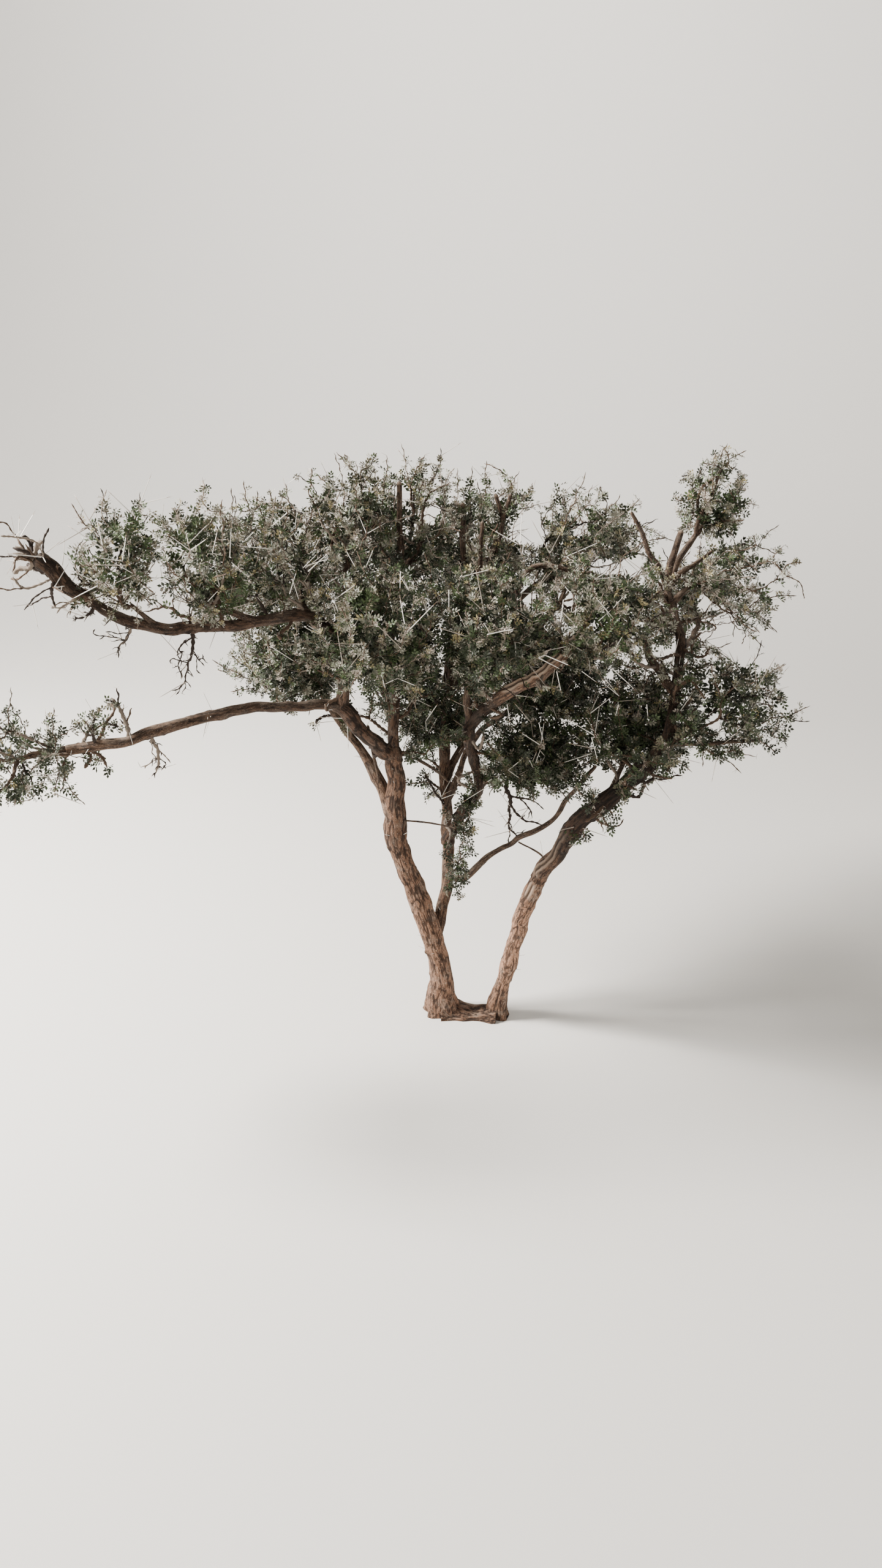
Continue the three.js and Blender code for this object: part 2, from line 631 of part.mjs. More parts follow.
function named(name, solid, look) {
  const mesh = new THREE.Mesh(geometryOf(solid), new THREE.MeshStandardMaterial(look));
  mesh.name = name;
  return mesh;
}

const planned = {};
for (const limb of LIMBS) planned[limb.name] = planLimb(limb, planned);
const limbs = Object.values(planned);

const acacia = new THREE.Group();
const cutters = [];
for (const limb of limbs) {
  let solid = limbSolid(limb);
  for (const cutter of cutters) solid = solid.subtract(cutter);
  cutters.push(limbSolid(limb, JOINT_GAP));
  const look = limb.radii[0] > STOUT_RADIUS ? bark : twigBark;
  acacia.add(named(limb.name, largestBody(solid.simplify(LIMB_TOLERANCE)), look));
}
const crownBetween = cutters.reduce((solid, cutter) => solid.subtract(cutter), rootCrown(planned));
acacia.add(named('root_crown', largestBody(crownBetween.simplify(LIMB_TOLERANCE)), bark));
for (const name of Object.keys(MASSES)) {
  const solid = largestBody(foliageSolid(name, limbs).simplify(MASS_TOLERANCE));
  acacia.add(named(name, solid, MASSES[name].bare ? deadTwigs : foliage));
}

export default acacia;
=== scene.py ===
"""An acacia tree's bark, twigs, leaves and thorns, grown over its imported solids.

The limbs and the foliage masses have the sizes and places of the solids' source, and the twigs
grow by the same rule, carried on to finer twigs within the same spaces. The tables give places
and radii in millimetres. Everything else is in metres.
"""

import functools
import itertools
import json
import math
from dataclasses import dataclass, replace

import bpy
import numpy as np
from bpy.props import FloatProperty, FloatVectorProperty, IntProperty, PointerProperty
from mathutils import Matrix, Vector

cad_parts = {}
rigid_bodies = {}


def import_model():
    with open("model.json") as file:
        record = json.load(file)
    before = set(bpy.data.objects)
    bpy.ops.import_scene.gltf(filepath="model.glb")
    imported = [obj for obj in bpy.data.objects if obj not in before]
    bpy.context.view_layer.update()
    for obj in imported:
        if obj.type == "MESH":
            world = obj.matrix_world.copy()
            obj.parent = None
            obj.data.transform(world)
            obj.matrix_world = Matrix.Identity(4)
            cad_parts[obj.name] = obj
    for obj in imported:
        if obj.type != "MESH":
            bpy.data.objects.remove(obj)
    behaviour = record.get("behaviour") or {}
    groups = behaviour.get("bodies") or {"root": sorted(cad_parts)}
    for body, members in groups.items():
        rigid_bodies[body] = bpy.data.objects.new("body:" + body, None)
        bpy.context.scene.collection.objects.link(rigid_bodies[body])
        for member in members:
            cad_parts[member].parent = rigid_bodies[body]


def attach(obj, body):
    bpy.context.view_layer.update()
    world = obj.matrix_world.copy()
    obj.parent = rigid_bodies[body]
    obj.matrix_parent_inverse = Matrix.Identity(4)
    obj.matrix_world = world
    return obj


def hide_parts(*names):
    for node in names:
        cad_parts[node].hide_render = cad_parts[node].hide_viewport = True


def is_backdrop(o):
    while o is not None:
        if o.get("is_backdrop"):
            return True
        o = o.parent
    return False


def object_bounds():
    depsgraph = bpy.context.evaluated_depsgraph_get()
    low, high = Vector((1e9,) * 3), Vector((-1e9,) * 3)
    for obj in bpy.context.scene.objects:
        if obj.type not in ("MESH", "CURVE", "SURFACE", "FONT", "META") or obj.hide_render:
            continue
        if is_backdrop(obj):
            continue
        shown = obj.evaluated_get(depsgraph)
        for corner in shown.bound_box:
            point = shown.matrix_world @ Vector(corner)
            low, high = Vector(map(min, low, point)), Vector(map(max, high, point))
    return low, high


bl_info = {
    "name": "Acacia tree",
    "version": (1, 0, 0),
    "blender": (4, 5, 0),
    "location": "View3D > Sidebar > Acacia",
    "description": "Grows the bark, twigs, leaves and thorns of an acacia tree over its solids",
    "category": "Object",
}

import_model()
CAD_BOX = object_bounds()
BODY = "root"


def numbers(text, scale=1):
    """Rows of numbers, with commas between the rows."""
    return np.array([row.split() for row in text.split(",") if row.strip()], float) / scale


def metres(text):
    """Rows of lengths that the text gives in millimetres."""
    return numbers(text, 1000)


def lines_of(table):
    """The cells of a table's lines, parted by bars. A line that ends in a comma goes on below."""
    lines = table.strip().replace(",\n", ",").splitlines()
    return [[cell.strip() for cell in line.split("|")] for line in lines]


# Joints and clearances, as in the solids' source
JOINT_GAP = 0.0003
SPACE_MARGIN = 0.0006
LIMB_MARGIN = 0.003

# Trunk foot
FLARE = 0.75
FLARE_HEIGHT = 0.042
FLARE_ROOTS = 5
FLARE_LOBE = 0.3
FOOT_SPLAY = 0.09

# Root crown: its half-width and height at the trunk, at its saddle and at the right stem's foot.
CROWN_SHARES = (0, 0.3, 0.58, 0.8, 1)
CROWN_WIDTHS = (0.046, 0.038, 0.030, 0.030, 0.032)
CROWN_HEIGHTS = (0.036, 0.020, 0.012, 0.017, 0.030)
CROWN_SEED = 77
CROWN_WOBBLE = (0.25, 0.028)

# Limbs and the source's own twigs
RING_RUN = 0.072
CURVE_DIVISIONS = 200
ENTRY = 0.8
TWIGS_PER_METRE = 112
SOURCE_TIP_RADIUS = 0.0015
TWIG_RUN = 0.075
KINK = 0.12
STEM_RUN = 0.014
PATH_SHARE = 0.3
TURN_SHARE = 0.6
TWIG_REACH = (0.22, 0.66)

# Finer twigs, and the shoots that stand out of the crown
FINE_RUN = 0.030
FINE_KINK = 0.17
FINE_REACH = (0.3, 0.90)
FINE_TIP_RADIUS = 0.0010
FINE_OVERREACH = 0.004
OUTER_SHOOTS = 24
OUTER_GROWTH = 1.22
OUTER_REACH = (0.84, 1.0)
MIDDLING_SIZE = 0.13
THINNEST = -0.5
MOST_WOOD = 12000
ZIGZAG = 0.0011
NODE_SWELL = 0.42
WAIST_SWELL = -0.35
TWIG_GAP_SHARE = 0.4
LEAF_GAP_SHARES = (0.7, 1.05)
SIDE_START = 0.8
STOUT_TWIG = 0.0032
ROUND_TWIG = 0.0015
TWIG_TINTS = (0.55, 0.3, 0.15)
BARE_WOOD_SEED = 5
BOUGH_SEEDS = 40
BOX_MARGIN = (0.045, 0.030, 0.038)

# Bark
OLD_FACET = 0.0022
YOUNG_FACET = 0.0038
FINE_FACET = 0.0072
FEWEST_SIDES = 7
CRACK_WIDTH = 0.0046
CRACK_RUN = 0.028
CRACK_SPREAD = 0.2
CRACK_BEND = 0.5
CRACK_BEND_RUN = 0.020
PLATE_SIZE = (0.004, 0.004, 0.014)
LUMP_SIZE = (0.02, 0.02, 0.045)
LUMP_HEIGHT = 0.07
PLATE_HEIGHT = 0.5
YOUNG_CRACKS = (0.7, 0.25, 0.3)
YOUNG_RADIUS = 0.006
OLD_RADIUS = 0.017
COLLAR = 0.3
COLLAR_START = 0.8
COLLAR_RUN = 1.3
WANDER = 0.0038
WANDER_SHARE = 0.36
WANDER_RUN = 0.042
WANDER_GIRTH = 0.13
SEAM_WIDTH = 0.0021
SEAM_DEPTH = 0.0022
SEAM_SWAY = 1.5
SEAM_SWAY_RUN = 0.015
SEAM_END = 0.05
SEAM_LIP = (2.3, 1.3)
LIP_HEIGHT = 0.7
TIP_SECTION = 0.002
PALE_TIP = 0.6
BURL_HOLLOW = 0.75
BURL_NARROWNESS = 0.75
HOLLOW_SHARPNESS = 7
SPUR_SHADE = 0.75

# The material of the bark: the scale, detail and roughness of its noises, and its surface
LENGTHWISE = 0.2
FIBRES = (620, 3, 0.65)
FLAKES = (240, 3, 0.6)
PATCHES = (36, 3)
SPECKS = (520, 2)
GRAIN_STRENGTH = 0.9
BARK_ROUGHNESS = (0.78, 0.2)
BARK_SHINE = 0.28
REDNESS = {"old": 0.95, "young": 0.45}
YOUNG_GRAIN = 0.7

# Swellings of the limbs: their spacing, and their least and most size and height, in radii.
LUMPS = (0.05, (0.5, 0.95), (0.05, 0.14))
SPURS = (0.022, (0.15, 0.30), (0.06, 0.17))


@dataclass(eq=False)
class Mass:
    """A foliage mass: the middle and half-widths of its space, its twigs' seed and its fullness."""

    name: str
    middle: np.ndarray
    half: np.ndarray
    seed: int
    fullness: float
    region: str


def mass_of(name, middle, half, seed, fullness, region):
    """A mass from its cells in the table."""
    return Mass(name, metres(middle)[0], metres(half)[0], int(seed), float(fullness), region)


# Foliage masses: name | middle | half-widths | seed of the twigs | how full | region of its pieces
MASSES = {cells[0]: mass_of(*cells) for cells in lines_of("""
lower_left | -815 -340 735 | 175 120 115 | 11 | 1 | left
left_knot | -745 -215 1080 | 105 90 85 | 12 | 0.35 |
outer_left | -590 -190 1070 | 120 115 110 | 13 | 1.1 | left
upper_left | -440 -165 1065 | 125 130 120 | 14 | 1.2 | left
inner_left | -305 -75 1060 | 125 140 125 | 15 | 1 | left
left_top | -185 -35 1105 | 120 130 120 | 16 | 1 | top
left_under | -310 70 825 | 150 150 120 | 17 | 2 | left
leader | -60 70 1085 | 135 150 135 | 18 | 1.2 | top
front | -110 -200 940 | 160 155 130 | 19 | 1.4 | front
crown_top | 95 90 1055 | 140 150 135 | 20 | 1 | top
front_middle | 85 -180 945 | 145 150 130 | 21 | 1.6 | front
middle_right | 290 -190 975 | 140 135 120 | 23 | 1.5 | front
middle_low | 215 -10 790 | 150 140 120 | 22 | 2 | front
top_right | 280 90 1040 | 145 150 125 | 24 | 1 | top
spire | 528 35 1135 | 75 80 100 | 25 | 1.4 | right
far_right | 570 0 995 | 125 130 105 | 26 | 1 | right
right_low | 525 -210 800 | 130 125 110 | 28 | 1.25 | right
right_under | 375 -140 745 | 135 125 115 | 29 | 2 | right
under | 195 -70 655 | 130 120 95 | 30 | 2.8 | front
low_back | -15 190 680 | 145 140 115 | 27 | 1.5 | back_left
back_left | -200 320 965 | 180 170 150 | 31 | 0.8 | back_left
back | 60 400 965 | 175 175 150 | 32 | 0.8 | back_right
back_right | 330 320 960 | 175 170 145 | 33 | 0.8 | back_right
left_back | -405 150 980 | 155 155 130 | 34 | 1 | back_left
right_back | 550 190 890 | 140 145 130 | 35 | 1.2 | back_right
""")}
REGIONS = tuple(dict.fromkeys(mass.region for mass in MASSES.values() if mass.region))
BARE_MASS = MASSES["left_knot"]
FULL_MASS = 1.35

# Openings of the crown as the camera sees them: their middles in the plane y = 0, and radii.
SKY_GAPS = metres("""
    162 1088 38, 260 1093 22, 156 956 28, 238 956 26, 311 1018 26, 371 1021 24, -83 1165 20,
    -32 1121 23, 557 888 48, 617 838 36, 516 945 22
""")
GAP_RAGGEDNESS = ((0.45, 0.034), (0.35, 0.012))

# Seen in the same way: fresh green leaves, deep shade in the core, and limbs that no leaf hides
GREEN_PATCHES = metres("""
    -422 968 40, -600 1110 30, -536 922 26, -165 940 26, 341 895 28, -20 640 28, -472 1072 26,
    290 687 22
""")
SHADY_CORE = metres("-34 981 80, -135 1006 50, -7 800 95, 110 860 80")
BARE_VIEWS = metres("95 732 18, 125 756 20, 152 772 20, 179 788 20, 200 803 20, 218 817 18")
HIDING_DEPTH = -0.15

# Limbs: name | parent | share of it where the limb leaves | course | mass that it enters | end radii
LIMBS = lines_of("""
trunk |  | 0 | 4 0 -60, -2 0 20, -21 0 180, -64 -5 305, -97 -12 425, -103 -25 655 |  | 24 18
middle_stem | trunk | 0.33 | 0 34 265, 7 72 390, 2 120 523, 5 155 690, 32 150 830 |  | 13 9
middle_limb | middle_stem | 0.33 | 46 38 482, 72 -12 556, 54 -50 645, 48 -88 722 |  | 12.5 11.5
middle_limb_bend | middle_limb | 0.97 | 78 -112 762, 122 -150 806, 198 -196 872 | middle_right | 12 8
right_stem |  | 0 | 119 -18 -60, 121 -22 30, 148 -60 198, 172 -100 320, 193 -140 409 |  | 15 13.5
right_stem_upper | right_stem | 0.99 | 220 -172 472, 255 -210 556, 298 -240 615,
    388 -262 712 |  | 14.5 12
right_bough | right_stem_upper | 0.98 | 418 -242 766, 430 -208 822, 446 -125 905,
    428 -45 985 |  | 11 7.5
left_limb | trunk | 0.96 | -136 -50 668, -163 -71 695, -209 -110 772 |  | 13.5 12
lower_left_limb | left_limb | 0.95 | -290 -142 777, -438 -212 781, -597 -290 757 | lower_left | 9.5 8
left_riser | left_limb | 0.93 | -194 -117 812, -181 -126 862, -196 -137 912 |  | 11 10.5
upper_left_limb | left_riser | 0.97 | -247 -154 952, -400 -182 948, -562 -204 953,
    -640 -212 1002 | left_knot | 10.5 6.5
leader | trunk | 0.985 | -103 -8 735, -110 20 860 | leader | 15 9
outer_left_shoot | upper_left_limb | 0.66 | -572 -200 990 | outer_left | 5.5 4.5
upper_left_shoot | upper_left_limb | 0.33 | -412 -180 975 | upper_left | 6.5 5
inner_left_branch | upper_left_limb | 0.09 | -262 -130 968 | inner_left | 7.5 5.5
left_top_bough | left_riser | 0.85 | -186 -110 950 | left_top | 8 6
left_branch | trunk | 0.78 | -161 10 606, -200 36 655 | left_under | 7 5
front_bough | leader | 0.3 | -98 -70 790, -100 -120 840 | front | 9 6.5
crown_top_bough | middle_stem | 0.98 | 52 135 900 | crown_top | 8.5 6.5
front_middle_bough | middle_limb | 0.92 | 46 -106 790 | front_middle | 8.5 6.5
middle_low_bough | middle_stem | 0.45 | 62 96 620, 120 55 690 | middle_low | 8 5.5
top_right_bough | middle_stem | 0.8 | 85 150 840, 165 125 930 | top_right | 8 6
spire_bough | right_bough | 0.96 | 452 -10 1020 | spire | 6.5 5.5
far_right_bough | right_bough | 0.9 | 470 -40 985 | far_right | 6.5 5
low_back_bough | middle_stem | 0.3 | 0 120 480 | low_back | 7 5
right_low_bough | right_stem_upper | 0.93 | 415 -262 740 | right_low | 7.5 5
right_under_bough | right_stem_upper | 0.72 | 335 -205 665 | right_under | 7 5
under_bough | middle_limb | 0.35 | 105 -10 590 | under | 6 4.5
back_left_bough | leader | 0.2 | -135 80 770, -165 180 855 | back_left | 9.5 7
back_bough | middle_stem | 0.62 | 8 220 735, 25 290 830 | back | 9.5 7
back_right_bough | middle_stem | 0.53 | 80 190 660, 180 250 790 | back_right | 9 6.5
left_back_bough | left_riser | 0.3 | -225 -40 860, -285 45 915 | left_back | 7.5 5.5
right_back_bough | right_bough | 0.62 | 478 -60 880, 512 30 885 | right_back | 6.5 5
""")
STOUT_LIMB = 0.009

# Small twigs outside the masses: limb | ends that the twig reaches in turn | radius | kind
SPRIGS = lines_of("""
upper_left_limb | -415 -178 998, -445 -172 1034 | 4.5 | dead
upper_left_limb | -469 -190 1010, -558 -190 1008 | 3 | dead
upper_left_limb | -629 -210 1061 | 2.8 | dead
upper_left_limb | -585 -205 925, -640 -215 940, -600 -220 905 | 2.5 | withered
upper_left_limb | -466 -192 906, -480 -190 862, -445 -200 874, -505 -190 886,
    -492 -190 832 | 3.5 | withered
lower_left_limb | -531 -262 716, -538 -264 688, -518 -256 702, -552 -270 704 | 3.5 | withered
lower_left_limb | -585 -272 800, -603 -272 836 | 4 | dead
right_stem_upper | 372 -266 668, 426 -266 681 | 3 | dead
right_stem_upper | 300 -240 575, 334 -236 566 | 3 | dead
under_bough | 136 -40 547, 138 -22 448, 155 -50 547, 161 -40 498, 158 -28 447, 189 -60 541,
    204 -55 485 | 4.6 | strands
middle_limb | 51 -20 516, 41 -40 463, 29 -45 394, 26 -45 333 | 1.9 | hanging
left_top_bough | -168 -35 1120, -156 -30 1205 | 3.8 | leafy
upper_left_limb | -635 -210 1017, -629 -210 1056, -613 -210 1065 | 3 | dead
upper_left_limb | -670 -211 992, -707 -210 989, -700 -220 978, -715 -200 984 | 3.5 | frayed
upper_left_limb | -640 -211 978, -668 -210 966 | 3 | withered
trunk | -80 -30 640, -40 -40 640, -18 -45 665 | 3 | leafy
""")
SPRIG_RUN = 0.017
SPRIG_SEED = 200

# Kinds of these twigs: side twigs for each end, their reach, and shares of brown, grey and dark
SPRIG_KINDS = {
    "dead": (3, 0.30, (0.4, 0.3, 0.3)), "withered": (9, 0.17, (0.05, 0.15, 0.8)),
    "frayed": (3, 0.30, (0.1, 0.9, 0)), "leafy": (3, 0.30, (0.5, 0.3, 0.2)),
    "hanging": (8, 0.10, (0.5, 0.3, 0.2)), "strands": (2, 0.15, (0.15, 0.1, 0.75)),
}

# Stubs and bare shoots with bark: limb | course | end radii
STUBS = lines_of("""
leader | -88 0 1070, -86 -30 1186 | 7.5 5
crown_top_bough | 40 40 1020, 36 30 1137 | 6.5 5
crown_top_bough | 100 40 1040, 113 30 1110, 98 30 1154 | 6 4.5
crown_top_bough | 105 40 1060, 116 30 1112, 129 30 1154 | 5 4
front_middle_bough | 62 -60 950, 69 -50 1046, 71 -50 1115 | 6.5 4
middle_limb_bend | 137 -110 985, 162 -100 1036, 206 -100 1038, 282 -100 1009 | 6.5 4
right_bough | 408 -60 1030, 389 -60 1054, 375 -50 1092, 351 -50 1133 | 6 3
right_bough | 440 -42 1045, 454 -30 1095 | 7.5 6
right_bough | 457 -30 1008, 508 0 1036, 531 0 1054 | 6 3.5
right_bough | 405 -70 975, 381 -80 958 | 5 3
spire_bough | 490 0 1110, 515 0 1165, 526 0 1205 | 5 2.8
middle_stem | 42 30 323, 99 5 387, 142 -20 429, 155 -25 445, 192 -45 471, 222 -60 500, 262 -100 585,
    300 -130 650 | 7.8 3.4
right_stem | 210 -55 411, 155 -28 438 | 3 2
trunk | -78 -20 631, -45 -30 618, -10 -40 598, 9 -45 580 | 4.4 2.5
trunk | -33 -30 482, 25 -50 478 | 2.4 1.6
trunk | -127 -14 534, -139 -12 587, -150 -10 641, -158 0 690 | 4.5 2.8
right_bough | 424 -196 832, 406 -180 856, 386 -170 880, 372 -150 925 | 9.5 6
right_stem_upper | 402 -250 740, 440 -240 735, 523 -220 730, 600 -200 728 | 6 3
right_stem_upper | 380 -275 690, 421 -285 683 | 3 2
""")
STUB_SEED = 500

# The broken end of the upper left limb, a gnarled stub with frayed splinters
KNOT_COURSE = metres("-635 -212 996, -682 -213 1029, -700 -215 1058, -728 -217 1080")
KNOT_RADII = (0.0120, 0.0190)
KNOT_LOOK = ("0.7 0.35", "", "")
KNOT_SEED = 91
KNOT_TINTS = (0.4, 0.15, 0.45)
KNOT_THORNS = (0.05, 0.4)
SPLINTERS = metres("""
    -760 -217 1099, -719 -217 1103, -748 -225 1088, -745 -205 1056, -740 -240 1095,
    -735 -200 1108, -768 -210 1078
""")
SPLINTER_SEED = 400
SPLINTER_RADIUS = 1.2 * STOUT_TWIG
SPLINTER_TINTS = (0.2, 0.6, 0.2)

# Leafy shoots on the limbs: limb | shares of it that they stand between, count, reach in metres
LIMB_SHOOTS = lines_of("""
leader | 0.05 0.8 15 0.09
left_riser | 0.1 0.9 7 0.065
upper_left_limb | 0.02 0.34 7 0.055
right_bough | 0.02 0.95 18 0.085
right_stem_upper | 0.62 1 10 0.08
middle_limb_bend | 0.05 0.9 8 0.06
middle_limb | 0.25 0.95 8 0.075
middle_stem | 0.45 0.98 14 0.085
left_branch | 0.6 1 3 0.05
lower_left_limb | 0.82 1 5 0.055
""")
SHOOT_SEED = 300
SHOOT_RADIUS = 0.0028
SHOOT_FORKS = 2
SHOOT_LIFT = 0.35
SHOOT_REACH = (0.6, 1.2)
FORK_SHARES = (0.5, 1.1)
FORK_SPREAD = 0.5

# Long single thorns: root and tip in the photograph's pixels, and the distance behind the trunk
THORNS_SEEN = numbers("""
    117 951 148 898 -212, 124 937 165 895 -212, 154 970 170 920 -210, 170 970 182 946 -210,
    102 923 106 877 -213, 347 903 356 862 -250, 375 910 378 852 -250, 347 903 366 908 -250,
    194 851 222 855 -260, 482 858 486 827 -150, 339 982 359 961 -250, 274 996 282 977 -250,
    291 996 291 970 -250, 378 918 408 945 -270, 442 1055 487 1084 -180, 544 988 563 1043 -220,
    546 979 585 953 -220, 473 970 485 929 -220, 477 945 490 985 -220, 500 924 543 910 -220,
    495 927 520 902 -220, 139 1141 150 1160 -310, 622 1099 628 1126 -260, 504 1022 543 1047 -220,
    398 1001 419 1006 -220, 211 1196 218 1219 -310, 503 933 541 898 -300, 500 1025 541 1047 -220,
    548 987 562 1028 -240, 557 971 584 952 -300, 654 933 653 966 -340, 790 1017 801 1036 -330,
    795 1036 847 1025 -330, 733 963 733 998 -340, 855 887 852 909 -200, 920 979 915 1020 -300,
    977 1014 1001 993 -280, 1001 993 1021 970 -280, 994 1077 1020 1032 -280,
    1034 1047 1042 1086 -250, 879 1074 920 1095 -320, 950 1096 977 1116 -300,
    999 1091 1042 1131 -280, 1149 918 1175 933 -100, 1199 925 1221 949 -100,
    1264 938 1275 917 -60, 1159 749 1178 751 0, 700 749 714 770 0, 692 781 717 762 0,
    622 1096 630 1128 -300, 966 1204 977 1247 -280, 1034 1223 1045 1250 -270,
    1056 1150 1058 1172 -300, 1010 1150 1004 1172 -300, 1112 1221 1175 1221 -270,
    909 1096 917 1134 -300, 828 1150 833 1182 -250, 880 1180 888 1214 -240
""")

# Bark of single limbs: name | girths | tones | burls: share, way, size, height | seam: way, shares
# The values in the third column are painted light and shade over the bark's own colour: lighter where sun
# falls, darker under the crown
LOOKS = {name: cells for name, *cells in lines_of("""
trunk | 1 1.05 1.15 1.2 1.1 | 1.4 1.75 1.45 1.05 0.75 | 0.55 -0.8 -0.6 0 0.9 0.16,
    0.86 0.7 -0.7 0 0.8 0.2, 0.22 0.8 -0.5 0 0.9 0.14 |
middle_stem |  | 0.8 1 0.8 0.5 | 0.3 -0.5 -0.9 0 1 0.25 |
middle_limb |  | 0.6 0.35 |  |
middle_limb_bend | 1.05 1.4 | 0.22 0.3 1.1 1.6 1.1 |  | -0.4 -0.6 0.7 0.45 1.1
right_stem | 0.88 1.05 1.2 1.2 1.15 | 0.9 2.1 2.7 2.1 1.3 | 0.38 0.2 -1 0.1 1.1 0.3,
    0.93 0.9 -0.4 0.2 1.3 0.28 | -0.5 -0.8 0 0.86 1
right_stem_upper | 1.2 1.35 | 1 0.35 0.17 0.14 | 0.1 -0.6 -0.8 0 1.4 0.26,
    0.42 0.6 -0.6 -0.4 0.9 0.25 | -0.75 -0.6 0.1 0.02 0.45
right_bough |  | 0.35 0.5 | 0.05 -0.3 -0.8 0 1.3 0.35 |
left_limb | 1.15 1.2 | 0.6 0.5 | 0.6 -0.3 -0.9 -0.4 0.9 0.25 |
lower_left_limb | 1.1 1.25 | 0.6 0.6 0.9 | 0.2 0 -0.3 1 0.9 0.35, 0.45 0 -0.6 -0.8 0.8 0.35 |
upper_left_limb | 1 1.2 1.55 | 0.42 0.58 0.48 0.3 | 0.25 0.1 -0.9 -0.4 1.2 0.35, 0.55 0 -0.2 -1 1 0.4 |
leader | 0.72 0.85 | 0.8 0.4 |  |
left_branch | 2.4 1.7 1.5 | 1.3 1 |  |
""")}
# Plain bark is a quarter darker, as painted shade for the wood inside the crown
PLAIN_LOOK = ("1", "0.75", "", "")
FIRM_JOINT = 0.95

# Leaves: each row's place on the stalk, how far its two blades lean out, and their length.
LEAF_ROWS = ((0.30, 1.15, 0.62), (0.70, 0.85, 0.66))
LEAF_END = 0.6
LEAF_DROOP = 0.16
BLADE_WIDTH = 0.36
BLADE_FOLD = 0.3
INNER_GROWTH = 0.6
LEAF_SIZES = (0.7, 1.3)
LEAF_OPENING = (0.6, 1.35)
LEAF_OVERREACH = 0.010
LEAF_LIMB_CLEAR = 0.003
LEAFY_RADIUS = 0.0030
LEAF_SEED = 100
NODE_TURN = 1.35
TURN_SPREAD = 0.35
WAY_SPREAD = 0.15
UP_SPREAD = 0.4
UP_LIFT = 0.3
BARE_NOISE = (0.55, -0.5)
SPRAY_NODES = 1
GAP_SIZE = 0.055
FEWEST_LEAVES = 2
LATER_LEAVES = (0.85, 0.35)

# The leaves' tints, and the shares of each among the sprays in shade, in sun and in green patches.
TINTS = ("deep_green", "mid_green", "olive", "grey_green", "yellow_olive", "dry_and_sunlit_beige")
SHADED = (0.46, 0.22, 0.10, 0.12, 0.02, 0.08)
SUNLIT = (0.10, 0.15, 0.14, 0.30, 0.07, 0.24)
FRESH = (0.10, 0.75, 0.10, 0, 0.05, 0)

# The materials of the small parts: the name, the setting of the colour, the roughness and the shine.
SMALL_PARTS = {
    "leaves": [("leaf_" + tint, tint, 0.48, 0.5) for tint in TINTS],
    "twigs": [(f"twig_{i}", tint, 0.85, 0.25) for i, tint in enumerate(("brown", "grey", "dark"))],
    "thorns": [("thorn_white", "white", 0.42, 0.5), ("thorn_old_and_shaded", "grey", 0.55, 0.4),
               ("thorn_tip", "tip", 0.4, 0.5)],
}

# How the leaves of each tint and place differ in size, and how much painted shade darkens the crown's inside
TINT_SIZES = (1.15, 1.1, 1.0, 0.95, 0.85, 0.72)
STRAY_LEAVES = 0.45
INNER_PART = (0.74, 0.42)
SHADY_HEIGHTS = (0.99, 0.74)
CORE_SHADE = 0.8

# Thorns
THORN_BASE = 0.00095
THORN_BASE_LENGTH = 0.05
THORN_BASE_RANGE = (0.25, 1.4)
THORN_WAIST = (0.82, 0.55)
THORN_OPEN = 0.75
THORN_OPENING = (0.6, 1.1)
PAIR_SIZES = (0.85, 1.1)
THORN_LEAN = 0.3
THORN_LIFT = 0.35
LONG_THORNS = 0.035
LONG_THORN = (0.5, 1.3)
SHORT_THORNS = 0.2
SHORT_THORN = (0.08, 0.22)
LIMB_THORN_SPACING = 0.13
LIMB_THORN = (0.3, 0.8)
LIMB_THORN_FOOT = 1.9
LOWEST_THORN = 0.12
SPRIG_SHORT_THORNS = 0.3
# Share of grey thorns: old thorns, and a shaded copy of the white as painted shade
GREY_THORNS = 0.4
THORN_SEED = 200

# Camera, from the photograph's frame and its viewing angle
FRAME_WIDTH_PX = 1440
FRAME_HEIGHT_PX = 2560
FOCAL_PX = 1950
SENSOR_MM = 36
CAMERA_PLACE = (-0.007, -2.332, 1.500)
CAMERA_PITCH = math.radians(22)

# Floor and backdrop: a level round that bends up smoothly into a wall far off
FLOOR_RADIUS = 2.7
FLOOR_BEND = 6.5
FLOOR_WALL = 2.5
FLOOR_RINGS = 32
FLOOR_SIDES = 72

# Steps of the repeatable numbers
SEED_STEP = 0x6D2B79F5
WORDS = 4294967296
HASH_FACTORS = (374761393, 668265263, 2147483629)
HASH_MIX = 1274126177
HASH_SEED = 144665
EVEN_STEPS = (0.7548776662, 0.569840291, 0.6180339887)
TRIES_PER_PLACE = 6
WORD = 0xFFFFFFFF


# Vectors, noise and repeatable numbers


def unit(vectors):
    """The vectors, each of length 1."""
    return vectors / np.maximum(np.linalg.norm(vectors, axis=-1, keepdims=True), 1e-12)


def mix(a, b, share):
    """The value that lies a share of the way from a to b."""
    return a + (b - a) * share


def smooth_step(values, low, high):
    """From 0 at low to 1 at high, with level ends."""
    share = np.clip((values - low) / (high - low), 0, 1)
    return share * share * (3 - 2 * share)


def turns_round(count):
    """Angles spread evenly over a full turn."""
    return np.arange(count) / count * 2 * math.pi


def ways_out(across, other, turns):
    """Ways out of a line, turned from the way across it towards the other."""
    return across * np.cos(turns)[..., None] + other * np.sin(turns)[..., None]


def folded(turns):
    """The same turns, from half a turn one way to half a turn the other."""
    return (turns + math.pi) % (2 * math.pi) - math.pi


